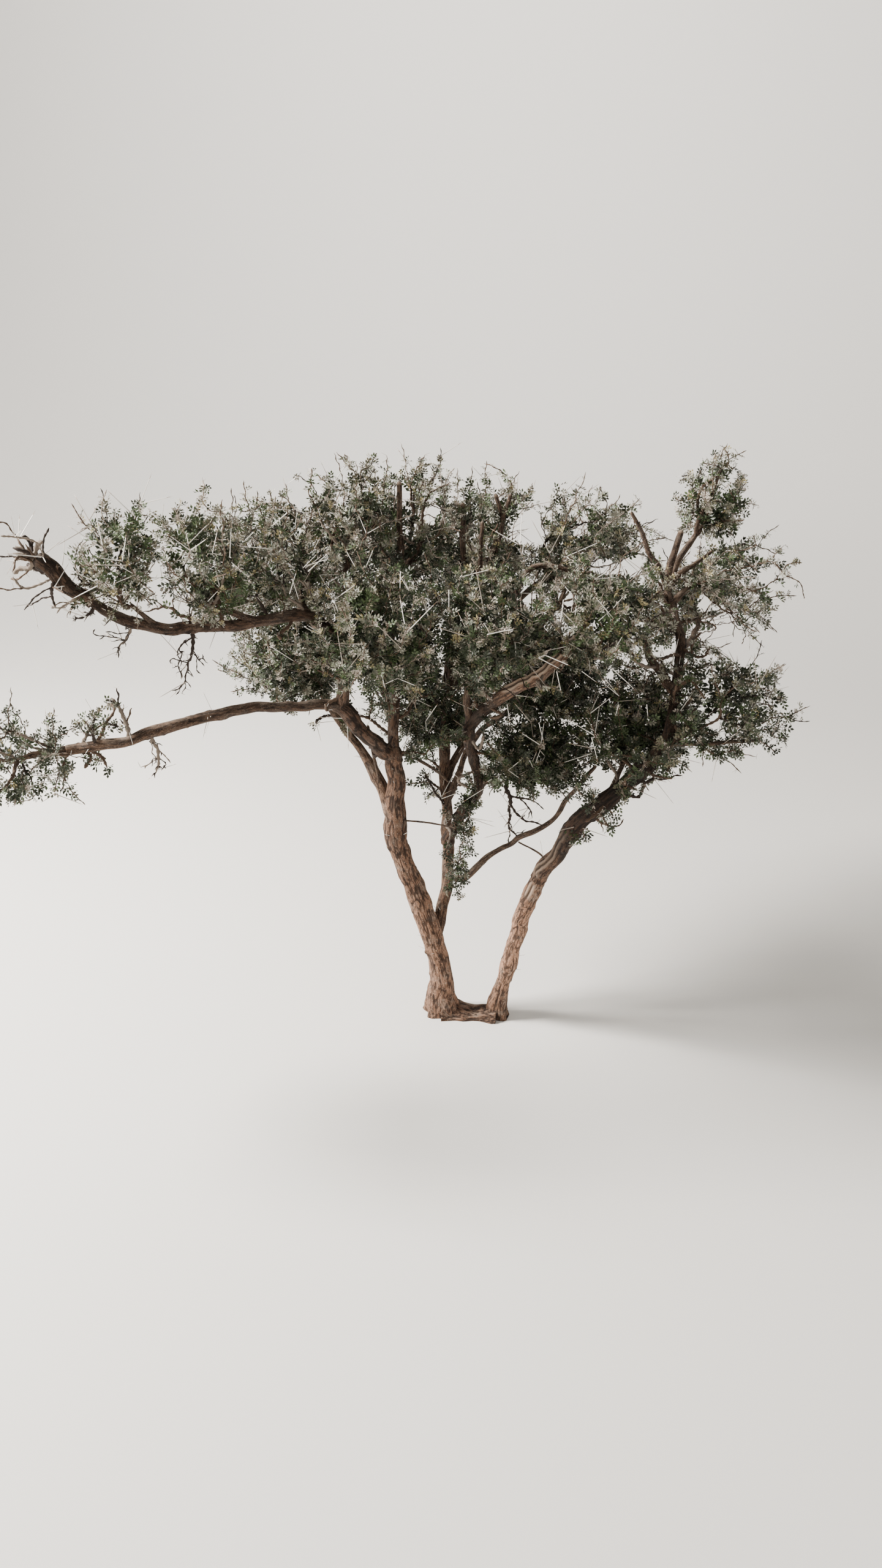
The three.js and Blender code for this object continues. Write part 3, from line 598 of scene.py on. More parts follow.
def seeded(seed):
    """A repeatable stream of numbers from 0 to 1, the same as the source's."""
    state = seed & WORD

    def draw():
        nonlocal state
        state = (state + SEED_STEP) & WORD
        word = ((state ^ (state >> 15)) * (state | 1)) & WORD
        word ^= (word + (((word ^ (word >> 7)) * (word | 61)) & WORD)) & WORD
        return ((word ^ (word >> 14)) & WORD) / WORDS

    return draw


def any_way(random):
    """A way that may point anywhere, up to half a unit along each axis."""
    return np.array([random() - 0.5, random() - 0.5, random() - 0.5])


def lattice(cells, seed):
    """A repeatable number from -1 to 1 for each cell."""
    word = (cells * HASH_FACTORS).sum(-1) + seed * HASH_SEED
    word &= WORD
    word = ((word ^ (word >> 13)) * HASH_MIX) & WORD
    word ^= word >> 16
    return word / (WORD / 2) - 1.0


def noise(places, seed):
    """Smooth noise from -1 to 1, with cells one unit wide."""
    cells = np.floor(places).astype(np.int64)
    share = places - cells
    share = share * share * (3 - 2 * share)
    total = 0
    for corner in itertools.product((0, 1), repeat=3):
        weight = np.where(corner, share, 1 - share).prod(-1)
        total = total + weight * lattice(cells + np.array(corner), seed)
    return total


# Lines


def curve_places(points, shares):
    """Places on the centripetal Catmull-Rom curve through the points."""
    ends = 2 * points[0] - points[1], 2 * points[-1] - points[-2]
    padded = np.vstack([ends[0], points, ends[1]])
    place = np.asarray(shares) * (len(points) - 1)
    span = np.minimum(place.astype(int), len(points) - 2)
    weight = (place - span)[:, None]
    before, start, stop, after = (padded[span + i] for i in range(4))

    def root_gap(a, b):
        return np.sqrt(np.linalg.norm(b - a, axis=1))[:, None]

    first, middle, last = root_gap(before, start), root_gap(start, stop), root_gap(stop, after)
    leaving = (start - before) / first - (stop - before) / (first + middle) + (stop - start) / middle
    arriving = (stop - start) / middle - (after - start) / (middle + last) + (after - stop) / last
    leaving, arriving = leaving * middle, arriving * middle
    square = 3 * (stop - start) - 2 * leaving - arriving
    cube = 2 * (start - stop) + leaving + arriving
    return start + weight * (leaving + weight * (square + weight * cube))


def lengths_along(line):
    """The length of a line up to each of its points."""
    return np.concatenate([[0], np.cumsum(np.linalg.norm(np.diff(line, axis=0), axis=1))])


def spaced_places(points, run, fewest):
    """Places at even lengths along that curve, about a run apart, and the curve's length."""
    shares = np.linspace(0, 1, CURVE_DIVISIONS + 1)
    lengths = lengths_along(curve_places(points, shares))
    steps = max(fewest, math.ceil(lengths[-1] / run))
    even = np.linspace(0, lengths[-1], steps + 1)
    return curve_places(points, np.interp(even, lengths, shares)), lengths[-1]


def headings(line):
    """The way of a line at each of its points."""
    return unit(np.vstack([line[1] - line[0], line[2:] - line[:-2], line[-1] - line[-2]]))


def frames_along(ways, first=(1.0, 0.2, 0.1)):
    """Two ways square to each way along a line, turned as little as they can be."""
    across = Vector(first)
    out = []
    for way in ways:
        way = Vector(way)
        across = (across - way * across.dot(way)).normalized()
        out.append((*across, *way.cross(across)))
    frames = np.array(out)
    return frames[:, :3], frames[:, 3:]


# Limbs, as planned in the solids' source


@dataclass
class Limb:
    """A limb: its number and parent, the points that it bends through, its rings and its radii."""

    number: int
    name: str
    parent: str
    at: float
    course: np.ndarray
    rings: np.ndarray
    radii: np.ndarray
    into: str


@functools.cache
def planned_limbs():
    """All limbs by name. One that enters a mass ends on the way to the mass's middle."""
    planned = {}
    for number, (name, parent, at, places, into, ends) in enumerate(LIMBS, 1):
        course = metres(places)
        if parent:
            rings = planned[parent].rings
            place = float(at) * (len(rings) - 1)
            before = int(place)
            course = np.vstack([mix(rings[before], rings[before + 1], place - before), course])
        if into:
            mass = MASSES[into]
            out = course[-1] - mass.middle
            course = np.vstack([course, mass.middle + out * ENTRY / np.linalg.norm(out / mass.half)])
        rings, _ = spaced_places(course, RING_RUN, 3)
        radii = np.linspace(*metres(ends)[0], len(rings))
        planned[name] = Limb(number, name, parent, float(at), course, rings, radii, into)
    return planned


@functools.cache
def limb_stretches():
    """The straight stretches of all limbs: starts, ends, radii and the limb's name."""
    columns = [(limb.rings[:-1], limb.rings[1:], np.maximum(limb.radii[:-1], limb.radii[1:]),
                [limb.name] * (len(limb.rings) - 1)) for limb in planned_limbs().values()]
    return [np.concatenate(column) for column in zip(*columns)]


# Spaces of the masses


@dataclass
class Space:
    """A mass's own space, and the bough that its stem carries on."""

    middle: np.ndarray
    half: np.ndarray
    ways: np.ndarray
    limits: np.ndarray
    bough: Limb
    foot: np.ndarray
    way: np.ndarray


@functools.cache
def space_of(mass):
    """The space of a mass, parted from its neighbours' by planes."""
    ways, limits = [], []
    for other in MASSES.values():
        if other is mass:
            continue
        way = other.middle - mass.middle
        distance = np.linalg.norm(way)
        way = way / distance
        mine, theirs = np.linalg.norm(way * mass.half), np.linalg.norm(way * other.half)
        if mine + theirs > distance:
            ways.append(way)
            limits.append(distance * mine / (mine + theirs))
    bough = next(limb for limb in planned_limbs().values() if limb.into == mass.name)
    return Space(mass.middle, mass.half, np.array(ways).reshape(-1, 3), np.array(limits), bough,
                 bough.rings[-1], headings(bough.rings)[-1])


def in_space(space, places, margin):
    """Whether each place is in the space, a margin inside its edge."""
    out = places - space.middle
    inside = np.linalg.norm(out / (space.half - margin), axis=1) <= 1
    if len(space.limits):
        inside &= (out @ space.ways.T <= space.limits - margin).all(1)
    return inside


def clear_of_limbs(space, places, margin):
    """Whether each place keeps its distance from every limb. Past its own tip a bough is clear."""
    starts, ends, radii, names = limb_stretches()
    runs = ends - starts
    out = places[:, None] - starts
    share = np.clip((out * runs).sum(-1) / (runs * runs).sum(-1), 0, 1)
    distance = np.linalg.norm(out - share[..., None] * runs, axis=-1)
    clear = distance >= radii + margin
    if space is not None:
        past = (places - space.foot) @ space.way > 0
        clear |= past[:, None] & (names == space.bough.name)
    return clear.all(1)


def scatter(random, space, count, reach):
    """Places spread evenly through a space, between two shares of its half-widths."""
    offsets = [random(), random(), random()]
    tries = np.arange(count * TRIES_PER_PLACE)
    draws = [(offset + tries * step) % 1 for offset, step in zip(offsets, EVEN_STEPS)]
    up = 1 - 2 * draws[0]
    turn = 2 * math.pi * draws[1]
    share = mix(*reach, np.sqrt(draws[2]))
    level = np.sqrt(1 - up * up)
    ways = np.stack([np.cos(turn) * level, np.sin(turn) * level, up], axis=1)
    places = ways * space.half * share[:, None] + space.middle
    return places[in_space(space, places, SPACE_MARGIN)][:count]


def seen_at(x, y, behind):
    """The places that the camera sees at the photograph's pixels, at distances behind the trunk."""
    side, up = (x - FRAME_WIDTH_PX / 2) / FOCAL_PX, (FRAME_HEIGHT_PX / 2 - y) / FOCAL_PX
    ahead = math.cos(CAMERA_PITCH) + up * math.sin(CAMERA_PITCH)
    rise = up * math.cos(CAMERA_PITCH) - math.sin(CAMERA_PITCH)
    eye = np.array(CAMERA_PLACE)
    reach = (behind - eye[1]) / ahead
    return eye + np.stack([side * reach, ahead * reach, rise * reach], -1)


def seen_in(rounds, places, share=1.0):
    """Whether the camera sees each place in one of some ragged rounds, or in a share of one."""
    eye = np.array(CAMERA_PLACE)
    out = places - eye
    seen = eye + out * (-eye[1] / out[:, 1])[:, None]
    ragged = 1 + sum(height * noise(seen / size, 7) for height, size in GAP_RAGGEDNESS)
    distance = np.hypot(seen[:, None, 0] - rounds[:, 0], seen[:, None, 2] - rounds[:, 1])
    return (distance * (ragged / share)[:, None] < rounds[:, 2]).any(1)


def in_box(places):
    """Whether each place is above the ground and no further out than the solids' box allows."""
    low, high = (np.array(corner) for corner in CAD_BOX)
    inside = (places > low - BOX_MARGIN).all(1) & (places < high + BOX_MARGIN).all(1)
    return inside & (places[:, 2] > 0)


# Growth of wood


def anywhere(places):
    """Every place is free."""
    return np.full(len(places), True)


class Wood:
    """Growing wood: its places, what each grew from, and the length of wood behind it."""

    def __init__(self, foot):
        self.count = 0
        self.places = np.zeros((MOST_WOOD, 3))
        self.ways = np.zeros((MOST_WOOD, 3))
        self.paths = np.zeros(MOST_WOOD)
        self.parents = np.full(MOST_WOOD, -1)
        self.add(foot, -1)

    def add(self, place, parent):
        """Grows wood from the parent to a place."""
        i = self.count
        self.places[i] = place
        self.parents[i] = parent
        if parent >= 0:
            run = place - self.places[parent]
            length = np.linalg.norm(run)
            self.ways[i] = run / length
            self.paths[i] = self.paths[parent] + length
        self.count += 1
        return i

    def best_fork(self, target):
        """The cheapest wood to branch from: near, not far along its path, and not turning back."""
        first = min(1, self.count - 1)
        way = target - self.places[first : self.count]
        distance = np.linalg.norm(way, axis=1)
        turn = 1 - (self.ways[first : self.count] * way).sum(1) / np.maximum(distance, 1e-9)
        cost = distance * (1 + TURN_SHARE * turn) + PATH_SHARE * self.paths[first : self.count]
        return first + int(cost.argmin())

    def branch_to(self, target, random, run=FINE_RUN, kink=FINE_KINK, is_free=anywhere):
        """Grows a kinked twig to a target, or nothing where it isn't free all the way."""
        fork = self.best_fork(target)
        start = self.places[fork]
        way = target - start
        steps = max(1, int(np.linalg.norm(way) / run + 0.5))
        sway = unit(np.cross(any_way(random), way)) * kink * run
        shares = np.arange(1, steps + 1)[:, None] / steps
        signs = np.where(np.arange(1, steps + 1) % 2, 1.0, -1.0)
        signs[-1] = 0
        grown = start + way * shares + signs[:, None] * sway
        line = np.vstack([start, grown])
        tests = np.vstack([mix(line[:-1], line[1:], share) for share in (0.25, 0.5, 0.75, 1.0)])
        if not is_free(tests).all():
            return
        for place in grown:
            fork = self.add(place, fork)

    def thicken(self, foot_radius, tip_radius):
        """Pipe model: wood's section is shared out among the tips that it carries."""
        self.tips = np.zeros(self.count)
        carries = set(self.parents[: self.count])
        for i in range(self.count - 1, -1, -1):
            if i not in carries:
                self.tips[i] = 1
            if i:
                self.tips[self.parents[i]] += self.tips[i]
        self.radii = np.maximum(tip_radius, foot_radius * np.sqrt(self.tips / self.tips[0]))

    def runs(self):
        """The wood as runs of places: each goes on along the child that carries most."""
        children = [[] for _ in range(self.count)]
        for i in range(1, self.count):
            children[self.parents[i]].append(i)
        waiting = [[0]]
        while waiting:
            run = waiting.pop()
            while children[run[-1]]:
                main, *sides = sorted(children[run[-1]], key=lambda i: -self.tips[i])
                waiting.extend([run[-1], side] for side in sides)
                run.append(main)
            yield run


@dataclass
class Twig:
    """A twig at even steps along its curve, with its radius and the ways of its frame."""

    line: np.ndarray
    radii: np.ndarray
    ways: np.ndarray
    across: np.ndarray
    other: np.ndarray


def twig_of(wood, run, internode):
    """A run of wood as a knobby twig that turns a little at each node."""
    course = wood.places[run]
    radii = wood.radii[run]
    if run[0]:
        radii = np.concatenate([[min(radii[0], radii[1]) * SIDE_START], radii[1:]])
    line, _ = spaced_places(course, internode, 2)
    reach = lengths_along(course)
    radii = np.interp(np.linspace(0, reach[-1], len(line)), reach, radii)
    ways = headings(line)
    across, other = frames_along(ways, first=np.roll(ways[0], 1) + (0.1, 0.02, 0.03))
    steps = np.arange(len(line))
    thin = smooth_step(radii, STOUT_TWIG, FINE_TIP_RADIUS)
    inner = (steps > 0) & (steps < len(line) - 1)
    zigzag = np.where(steps % 4 < 2, 1.0, -1.0) * ZIGZAG * thin * inner
    line = line + across * zigzag[:, None]
    swell = 1 + NODE_SWELL * np.where(steps % 2, 1.0, WAIST_SWELL) * inner
    return Twig(line, radii * swell, ways, across, other)


@functools.cache
def grown_mass(mass, fine_twigs, internode):
    """The twigs of a mass: the source's own, carried on to finer ones."""
    space = space_of(mass)
    random = seeded(mass.seed)
    foot = space.foot + space.way * JOINT_GAP
    wood = Wood(foot)
    neck = wood.add(foot + space.way * STEM_RUN, 0)
    wood.add(any_way(random) * space.half * 0.3 + space.middle, neck)

    def is_free(places, room=space, margin=SPACE_MARGIN + SOURCE_TIP_RADIUS):
        return in_space(room, places, margin) & clear_of_limbs(space, places, LIMB_MARGIN)

    def is_open(places, room=space):
        clear = is_free(places, room, -FINE_OVERREACH) & ~seen_in(SKY_GAPS, places, TWIG_GAP_SHARE)
        return clear & in_box(places)

    def grow(targets, run, kink, free):
        nearest_first = np.linalg.norm(targets - space.foot, axis=1).argsort(kind="stable")
        for target in targets[nearest_first]:
            wood.branch_to(target, random, run, kink, free)

    size = np.cbrt(space.half.prod())
    grow(scatter(random, space, round(TWIGS_PER_METRE * size), TWIG_REACH), TWIG_RUN, KINK, is_free)
    count = round(fine_twigs * (size / MIDDLING_SIZE) ** 3 * mass.fullness)
    fine = scatter(random, space, count, FINE_REACH)
    thin = noise(fine / GAP_SIZE, mass.seed) < THINNEST
    grow(fine[~thin | (mass.fullness > FULL_MASS)], FINE_RUN, FINE_KINK, is_open)
    room = replace(space, half=space.half * OUTER_GROWTH)
    outer = scatter(random, room, round(OUTER_SHOOTS * min(1, mass.fullness)), OUTER_REACH)
    grow(outer, FINE_RUN, FINE_KINK, functools.partial(is_open, room=room))
    wood.thicken(space.bough.radii[-1], FINE_TIP_RADIUS)
    return [twig_of(wood, run, internode) for run in wood.runs()]


def foot_on(limb_name, place):
    """The place of a limb's middle line that is nearest to another place."""
    line, _ = spaced_places(planned_limbs()[limb_name].course, RING_RUN / 12, 3)
    return line[np.linalg.norm(line - place, axis=1).argmin()]


@functools.cache
def grown_sprigs(internode):
    """The small twigs outside the masses: pairs of a twig and its kind."""
    found = []
    for i, (limb_name, ends, radius, kind) in enumerate(SPRIGS):
        random = seeded(SPRIG_SEED + i)
        ends = metres(ends)
        wood = Wood(foot_on(limb_name, ends[0]))
        reach = np.linalg.norm(ends[-1] - wood.places[0])
        for end in ends:
            wood.branch_to(end, random, SPRIG_RUN)
        forks, spread, _ = SPRIG_KINDS[kind]
        stem = wood.count - 1
        for _ in range(forks * len(ends)):
            base = wood.places[1 + int(random() * stem)]
            wood.branch_to(base + unit(any_way(random)) * reach * spread, random, SPRIG_RUN)
        wood.thicken(float(radius) / 1000, FINE_TIP_RADIUS)
        found.extend((twig_of(wood, run, internode), kind) for run in wood.runs())
    return found


@functools.cache
def grown_shoots(internode):
    """The leafy shoots that stand on the limbs."""
    random = seeded(SHOOT_SEED)
    found = []
    for limb_name, row in LIMB_SHOOTS:
        first, last, count, reach = numbers(row)[0]
        for i in range(int(count)):
            share = mix(first, last, (i + random()) / count)
            foot = curve_places(planned_limbs()[limb_name].course, [share])[0]
            wood = Wood(foot)
            way = unit(any_way(random)) + np.array([0, 0, SHOOT_LIFT])
            end = foot + way * reach * mix(*SHOOT_REACH, random())
            wood.branch_to(end, random)
            for _ in range(SHOOT_FORKS):
                aside = mix(foot, end, mix(*FORK_SHARES, random()))
                aside = aside + unit(any_way(random)) * reach * FORK_SPREAD
                if clear_of_limbs(None, aside[None], LIMB_MARGIN).all():
                    wood.branch_to(aside, random)
            wood.thicken(SHOOT_RADIUS, FINE_TIP_RADIUS)
            found.extend(twig_of(wood, run, internode) for run in wood.runs())
    return found


# Meshes


class Pile:
    """Triangles gathered for one piece, with the tint of each and values at the corners."""

    def __init__(self):
        self.count = 0
        self.vertices = []
        self.triangles = []
        self.tints = []
        self.values = {}

    def add(self, vertices, triangles, tints=0, **values):
        """Adds triangles over vertices, with values such as the bark's age at each vertex."""
        vertices = vertices.reshape(-1, 3)
        self.vertices.append(vertices)
        self.triangles.append(triangles + self.count)
        self.tints.append(np.broadcast_to(tints, len(triangles)))
        for key, value in values.items():
            self.values.setdefault(key, []).append(value)
        self.count += len(vertices)

    def add_copies(self, copies, triangles, tints):
        """Adds the same triangles over each copy's vertices."""
        offsets = np.arange(len(copies))[:, None, None] * copies.shape[1]
        self.add(copies, (triangles + offsets).reshape(-1, 3), tints)

    def made(self, name, materials, smooth=True):
        """The pile as an object, with a material for each tint."""
        vertices = np.concatenate(self.vertices)
        triangles = np.concatenate(self.triangles)
        mesh = bpy.data.meshes.new(name)
        mesh.vertices.add(len(vertices))
        mesh.vertices.foreach_set("co", vertices.astype(np.float32).ravel())
        mesh.loops.add(triangles.size)
        mesh.loops.foreach_set("vertex_index", triangles.astype(np.int32).ravel())
        mesh.polygons.add(len(triangles))
        mesh.polygons.foreach_set("loop_start", np.arange(0, triangles.size, 3, dtype=np.int32))
        for material in materials:
            mesh.materials.append(material)
        mesh.polygons.foreach_set("material_index", np.concatenate(self.tints).astype(np.int32))
        mesh.polygons.foreach_set("use_smooth", np.full(len(triangles), smooth))
        for key, value in self.values.items():
            value = np.concatenate(value).astype(np.float32)
            kind, field = ("FLOAT_VECTOR", "vector") if value.ndim == 2 else ("FLOAT", "value")
            mesh.attributes.new(key, kind, "POINT").data.foreach_set(field, value.ravel())
        mesh.update(calc_edges=True)
        piece = bpy.data.objects.new(name, mesh)
        bpy.context.scene.collection.objects.link(piece)
        return piece


def place_piece(piece, slot, *nodes):
    """Rides a piece on the tree's body, in place of CAD nodes where it stands for some."""
    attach(piece, BODY)
    if nodes:
        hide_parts(*nodes)


@functools.cache
def tube_triangles(rings, sides):
    """The triangles of a closed tube: its side, and a fan at each end."""
    a = (np.arange(rings - 1)[:, None] * sides + np.arange(sides)).ravel()
    b = (np.arange(rings - 1)[:, None] * sides + (np.arange(sides) + 1) % sides).ravel()
    side = np.concatenate([np.stack([a, b, b + sides], 1), np.stack([a, b + sides, a + sides], 1)])
    fan = np.arange(1, sides - 1)
    start = np.stack([np.zeros_like(fan), fan + 1, fan], 1)
    last = (rings - 1) * sides
    stop = np.stack([np.full_like(fan, last), last + fan, last + fan + 1], 1)
    return np.concatenate([side, start, stop])


# Bark


def bark_relief(unrolled, radii, seed, crack_depth):
    """The bark's relief on an unrolled limb, and how deep in a crack each place lies."""
    age = smooth_step(radii, YOUNG_RADIUS, OLD_RADIUS)
    bend = noise(unrolled / CRACK_BEND_RUN, seed)[..., None] * CRACK_BEND
    width = CRACK_WIDTH * mix(YOUNG_CRACKS[0], 1.0, age)[..., None]
    stretch = np.concatenate([width, width, np.full_like(width, CRACK_RUN)], -1)
    crack = np.exp(-((noise(unrolled / stretch + bend, seed + 1) / CRACK_SPREAD) ** 2))
    plates = noise(unrolled / PLATE_SIZE, seed + 2)
    lumps = noise(unrolled / LUMP_SIZE, seed + 3)
    depth = crack_depth * mix(YOUNG_CRACKS[1], 1.0, age)
    relief = depth * (PLATE_HEIGHT * plates - crack) + LUMP_HEIGHT * radii * lumps
    return relief, crack * mix(YOUNG_CRACKS[2], 1.0, age)


def turn_from(turns, across, other, facing):
    """How far round a limb each place lies from the side that faces a way."""
    middle = np.arctan2(other @ facing, across @ facing)[:, None]
    return folded(turns - middle)


def swellings(kind, turns, lengths, radii, random):
    """Swellings of one kind, scattered over a limb, and how near a swelling's top each place is."""
    spacing, sizes, heights = kind
    swell, tops = np.zeros_like(radii), np.zeros_like(radii)
    for _ in range(int(lengths.max() / spacing)):
        along, facing = random() * lengths.max(), random() * 2 * math.pi
        size, height = mix(*sizes, random()), mix(*heights, random())
        away = folded(turns - facing)
        top = np.exp(-(((lengths - along) / (size * radii)) ** 2) - (away / size) ** 2)
        swell += height * top
        tops = np.maximum(tops, top)
    return swell, tops


def burls_of(burls, turns, across, other, lengths, radii):
    """The limb's own burls, each a swelling round a small hollow."""
    swell = np.zeros_like(radii)
    for at, *facing, size, height in numbers(burls):
        away = turn_from(turns, across, other, facing)
        along = (lengths - at * lengths.max()) / (size * radii)
        spread = along**2 + (away / (BURL_NARROWNESS * size)) ** 2
        swell += height * (np.exp(-spread) - BURL_HOLLOW * np.exp(-spread * HOLLOW_SHARPNESS))
    return swell


def seam_of(seam, turns, across, other, lengths, radii):
    """The groove of the limb's healed seam, and the lips beside it."""
    if not seam:
        return np.zeros_like(radii), np.zeros_like(radii)
    *facing, start, stop = numbers(seam)[0]
    share = lengths / lengths.max()
    along = smooth_step(share, start, start + SEAM_END) * smooth_step(share, stop, stop - SEAM_END)
    places = np.stack([lengths / SEAM_SWAY_RUN, 0 * lengths, 0 * lengths], -1)
    sway = SEAM_WIDTH * SEAM_SWAY * noise(places, 3)
    away = turn_from(turns, across, other, facing) * radii + sway
    groove = np.exp(-((away / SEAM_WIDTH) ** 2)) * along
    offset, width = SEAM_LIP
    lips = np.exp(-(((np.abs(away) - offset * SEAM_WIDTH) / (width * SEAM_WIDTH)) ** 2)) * along
    return groove, lips


def foot_swell(heights, turns):
    """The roots' flare at a foot: widest at the ground, with lobes that differ in size."""
    lobes = 1 + FLARE_LOBE * np.cos(FLARE_ROOTS * turns + 0.8 * np.sin(2 * turns))
    lobes += FLARE_LOBE * 0.5 * np.cos(2 * turns + 1)
    return FLARE * lobes * np.exp(-np.maximum(heights, 0) / FLARE_HEIGHT)


def wandered(line, radii, seed):
    """A line swayed and its radii varied a little, as in grown wood, but not at its ends."""
    lengths = lengths_along(line)
    window = smooth_step(np.minimum(lengths, lengths[-1] - lengths), 0, WANDER_RUN / 2)
    places = np.stack([lengths / WANDER_RUN, 0 * lengths, 0 * lengths], 1)
    sway = np.stack([noise(places, seed * 3 + i) for i in range(3)], 1)
    reach = np.minimum(WANDER, WANDER_SHARE * radii) * window
    return line + sway * reach[:, None], radii * (1 + WANDER_GIRTH * noise(places * 0.8, seed) * window)


def barked(pile, line, radii, seed, crack_depth, facet=FINE_FACET, look=PLAIN_LOOK[1:],
           parent_radius=0, stands=False, rounded=False, pale_end=0):
    """Adds a limb with the bark's relief to a pile."""
    lights_and_tones, burls, seam = look
    line, radii = wandered(line, radii, seed)
    ways = headings(line)
    if stands:
        upright = smooth_step(line[:, 2], 0, FOOT_SPLAY)[:, None]
        ways = unit(mix(np.array([0, 0, 1.0]), ways, upright))
    across, other = frames_along(ways)
    sides = max(FEWEST_SIDES, int(2 * math.pi * radii.max() / facet))
    turns = turns_round(sides)
    out = ways_out(across[:, None], other[:, None], turns)
    lengths = lengths_along(line)[:, None] + np.zeros(sides)
    wide = radii[:, None] + np.zeros(sides)
    turned = turns[None, :] + np.zeros((len(line), 1))
    random = seeded(seed)
    lumps, _ = swellings(LUMPS, turned, lengths, wide, random)
    spurs, spur_tops = swellings(SPURS, turned, lengths, wide, random)
    swell = lumps + spurs + burls_of(burls, turned, across, other, lengths, wide)
    if parent_radius:
        outside = np.maximum(lengths - parent_radius * COLLAR_START, 0)
        swell += COLLAR * np.exp(-outside / (COLLAR_RUN * wide))
    if stands:
        swell += foot_swell(line[:, 2:3] + 0 * turned, turned)
    wide = wide * (1 + swell)
    unrolled = np.stack([np.cos(turned) * wide, np.sin(turned) * wide, lengths + seed], -1)
    relief, crack = bark_relief(unrolled, wide, seed, crack_depth)
    groove, lips = seam_of(seam, turned, across, other, lengths, wide)
    relief = relief * (1 - lips) + SEAM_DEPTH * (LIP_HEIGHT * lips - groove)
    if rounded:
        left = np.clip((lengths.max() - lengths) / radii[-1], 0, 1)
        wide = wide * np.sqrt(np.clip(1 - (1 - left) ** 2, TIP_SECTION, 1))
        lips = np.maximum(lips, pale_end * smooth_step(left, 1, PALE_TIP))
    vertices = line[:, None] + out * (wide + relief)[..., None]
    if stands:
        vertices[0, :, 2] = 0
        vertices[..., 2] = np.maximum(vertices[..., 2], 0)
    age = smooth_step(radii, YOUNG_RADIUS, OLD_RADIUS)[:, None] + np.zeros(sides)
    # Painted shade in the cracks and in the seam's groove; the spurs' tops are dark knots
    dark = np.clip(crack * (1 - lips) + SPUR_SHADE * spur_tops + groove, 0, 1)
    pile.add(vertices, tube_triangles(len(line), sides), unrolled=unrolled.reshape(-1, 3),
             crack=dark.ravel(), age=age.ravel(), pale=lips.ravel(),
             tone=np.repeat(spread_over(lights_and_tones, len(line)), sides))


def trimmed_to_ground(line, radii):
    """A standing limb's line from the ground up."""
    above = int((line[:, 2] > 0).argmax())
    share = -line[above - 1, 2] / (line[above, 2] - line[above - 1, 2])
    start = mix(line[above - 1], line[above], share)
    return np.vstack([start, line[above:]]), np.concatenate([[radii[above]], radii[above:]])


def spread_over(values, count):
    """A few values, spread evenly and filled in between."""
    values = numbers(values)[0] if isinstance(values, str) else values
    return np.interp(np.linspace(0, 1, count), np.linspace(0, 1, len(values)), values)


def limb_skin(limb, crack_depth):
    """One limb's pile, from inside its parent or from the ground to its tip."""
    facet = OLD_FACET if limb.radii[0] > STOUT_LIMB else YOUNG_FACET
    cells = LOOKS.get(limb.name, PLAIN_LOOK)
    girths, *look = (own or plain for own, plain in zip(cells, PLAIN_LOOK))
    line, _ = spaced_places(limb.course, facet, 8)
    radii = np.linspace(limb.radii[0], limb.radii[-1], len(line)) * spread_over(girths, len(line))
    parent_radius = 0
    if not limb.parent:
        line, radii = trimmed_to_ground(line, radii)
    elif limb.at <= FIRM_JOINT:
        parent_radius = np.interp(limb.at, (0, 1), planned_limbs()[limb.parent].radii[[0, -1]])
    pile = Pile()
    barked(pile, line, radii, limb.number, crack_depth, facet, look, parent_radius,
           stands=not limb.parent, rounded=not limb.into)
    return pile


def root_crown_skin(crack_depth):
    """The low mound of wood that joins the two feet, with a flat underside on the ground."""
    foot = planned_limbs()["right_stem"].rings[1] * (1, 1, 0)
    length = np.linalg.norm(foot)
    beside = np.array([-foot[1], foot[0], 0]) / length
    rings, sides = int(length / OLD_FACET), int(math.pi * CROWN_WIDTHS[0] / OLD_FACET)
    share = np.linspace(0, 1, rings)[:, None] + np.zeros(sides)
    turns = turns_round(sides) + np.zeros((rings, 1))
    wobble, size = CROWN_WOBBLE
    places = np.stack([share * length / size, np.cos(turns) * 1.5, np.sin(turns) * 1.5], -1)
    girth = 1 + wobble * noise(places, CROWN_SEED)
    width = np.interp(share, CROWN_SHARES, CROWN_WIDTHS) * girth
    height = np.interp(share, CROWN_SHARES, CROWN_HEIGHTS) * girth
    up = np.maximum(np.sin(turns), 0)
    unrolled = np.stack([np.cos(turns) * width, up * height, share * length + CROWN_SEED], -1)
    relief, crack = bark_relief(unrolled, width, CROWN_SEED, crack_depth)
    rise = height * up**0.8 + relief * (up > 0)
    spread = np.cos(turns) * (width + relief)
    vertices = share[..., None] * foot + spread[..., None] * beside
    vertices[..., 2] = np.maximum(rise, 0) * (up > 0)
    pile = Pile()
    pile.add(vertices, tube_triangles(rings, sides), unrolled=unrolled.reshape(-1, 3),
             crack=crack.ravel(), age=np.ones(crack.size), pale=np.zeros(crack.size),
             tone=np.ones(crack.size))
    return pile


# Materials


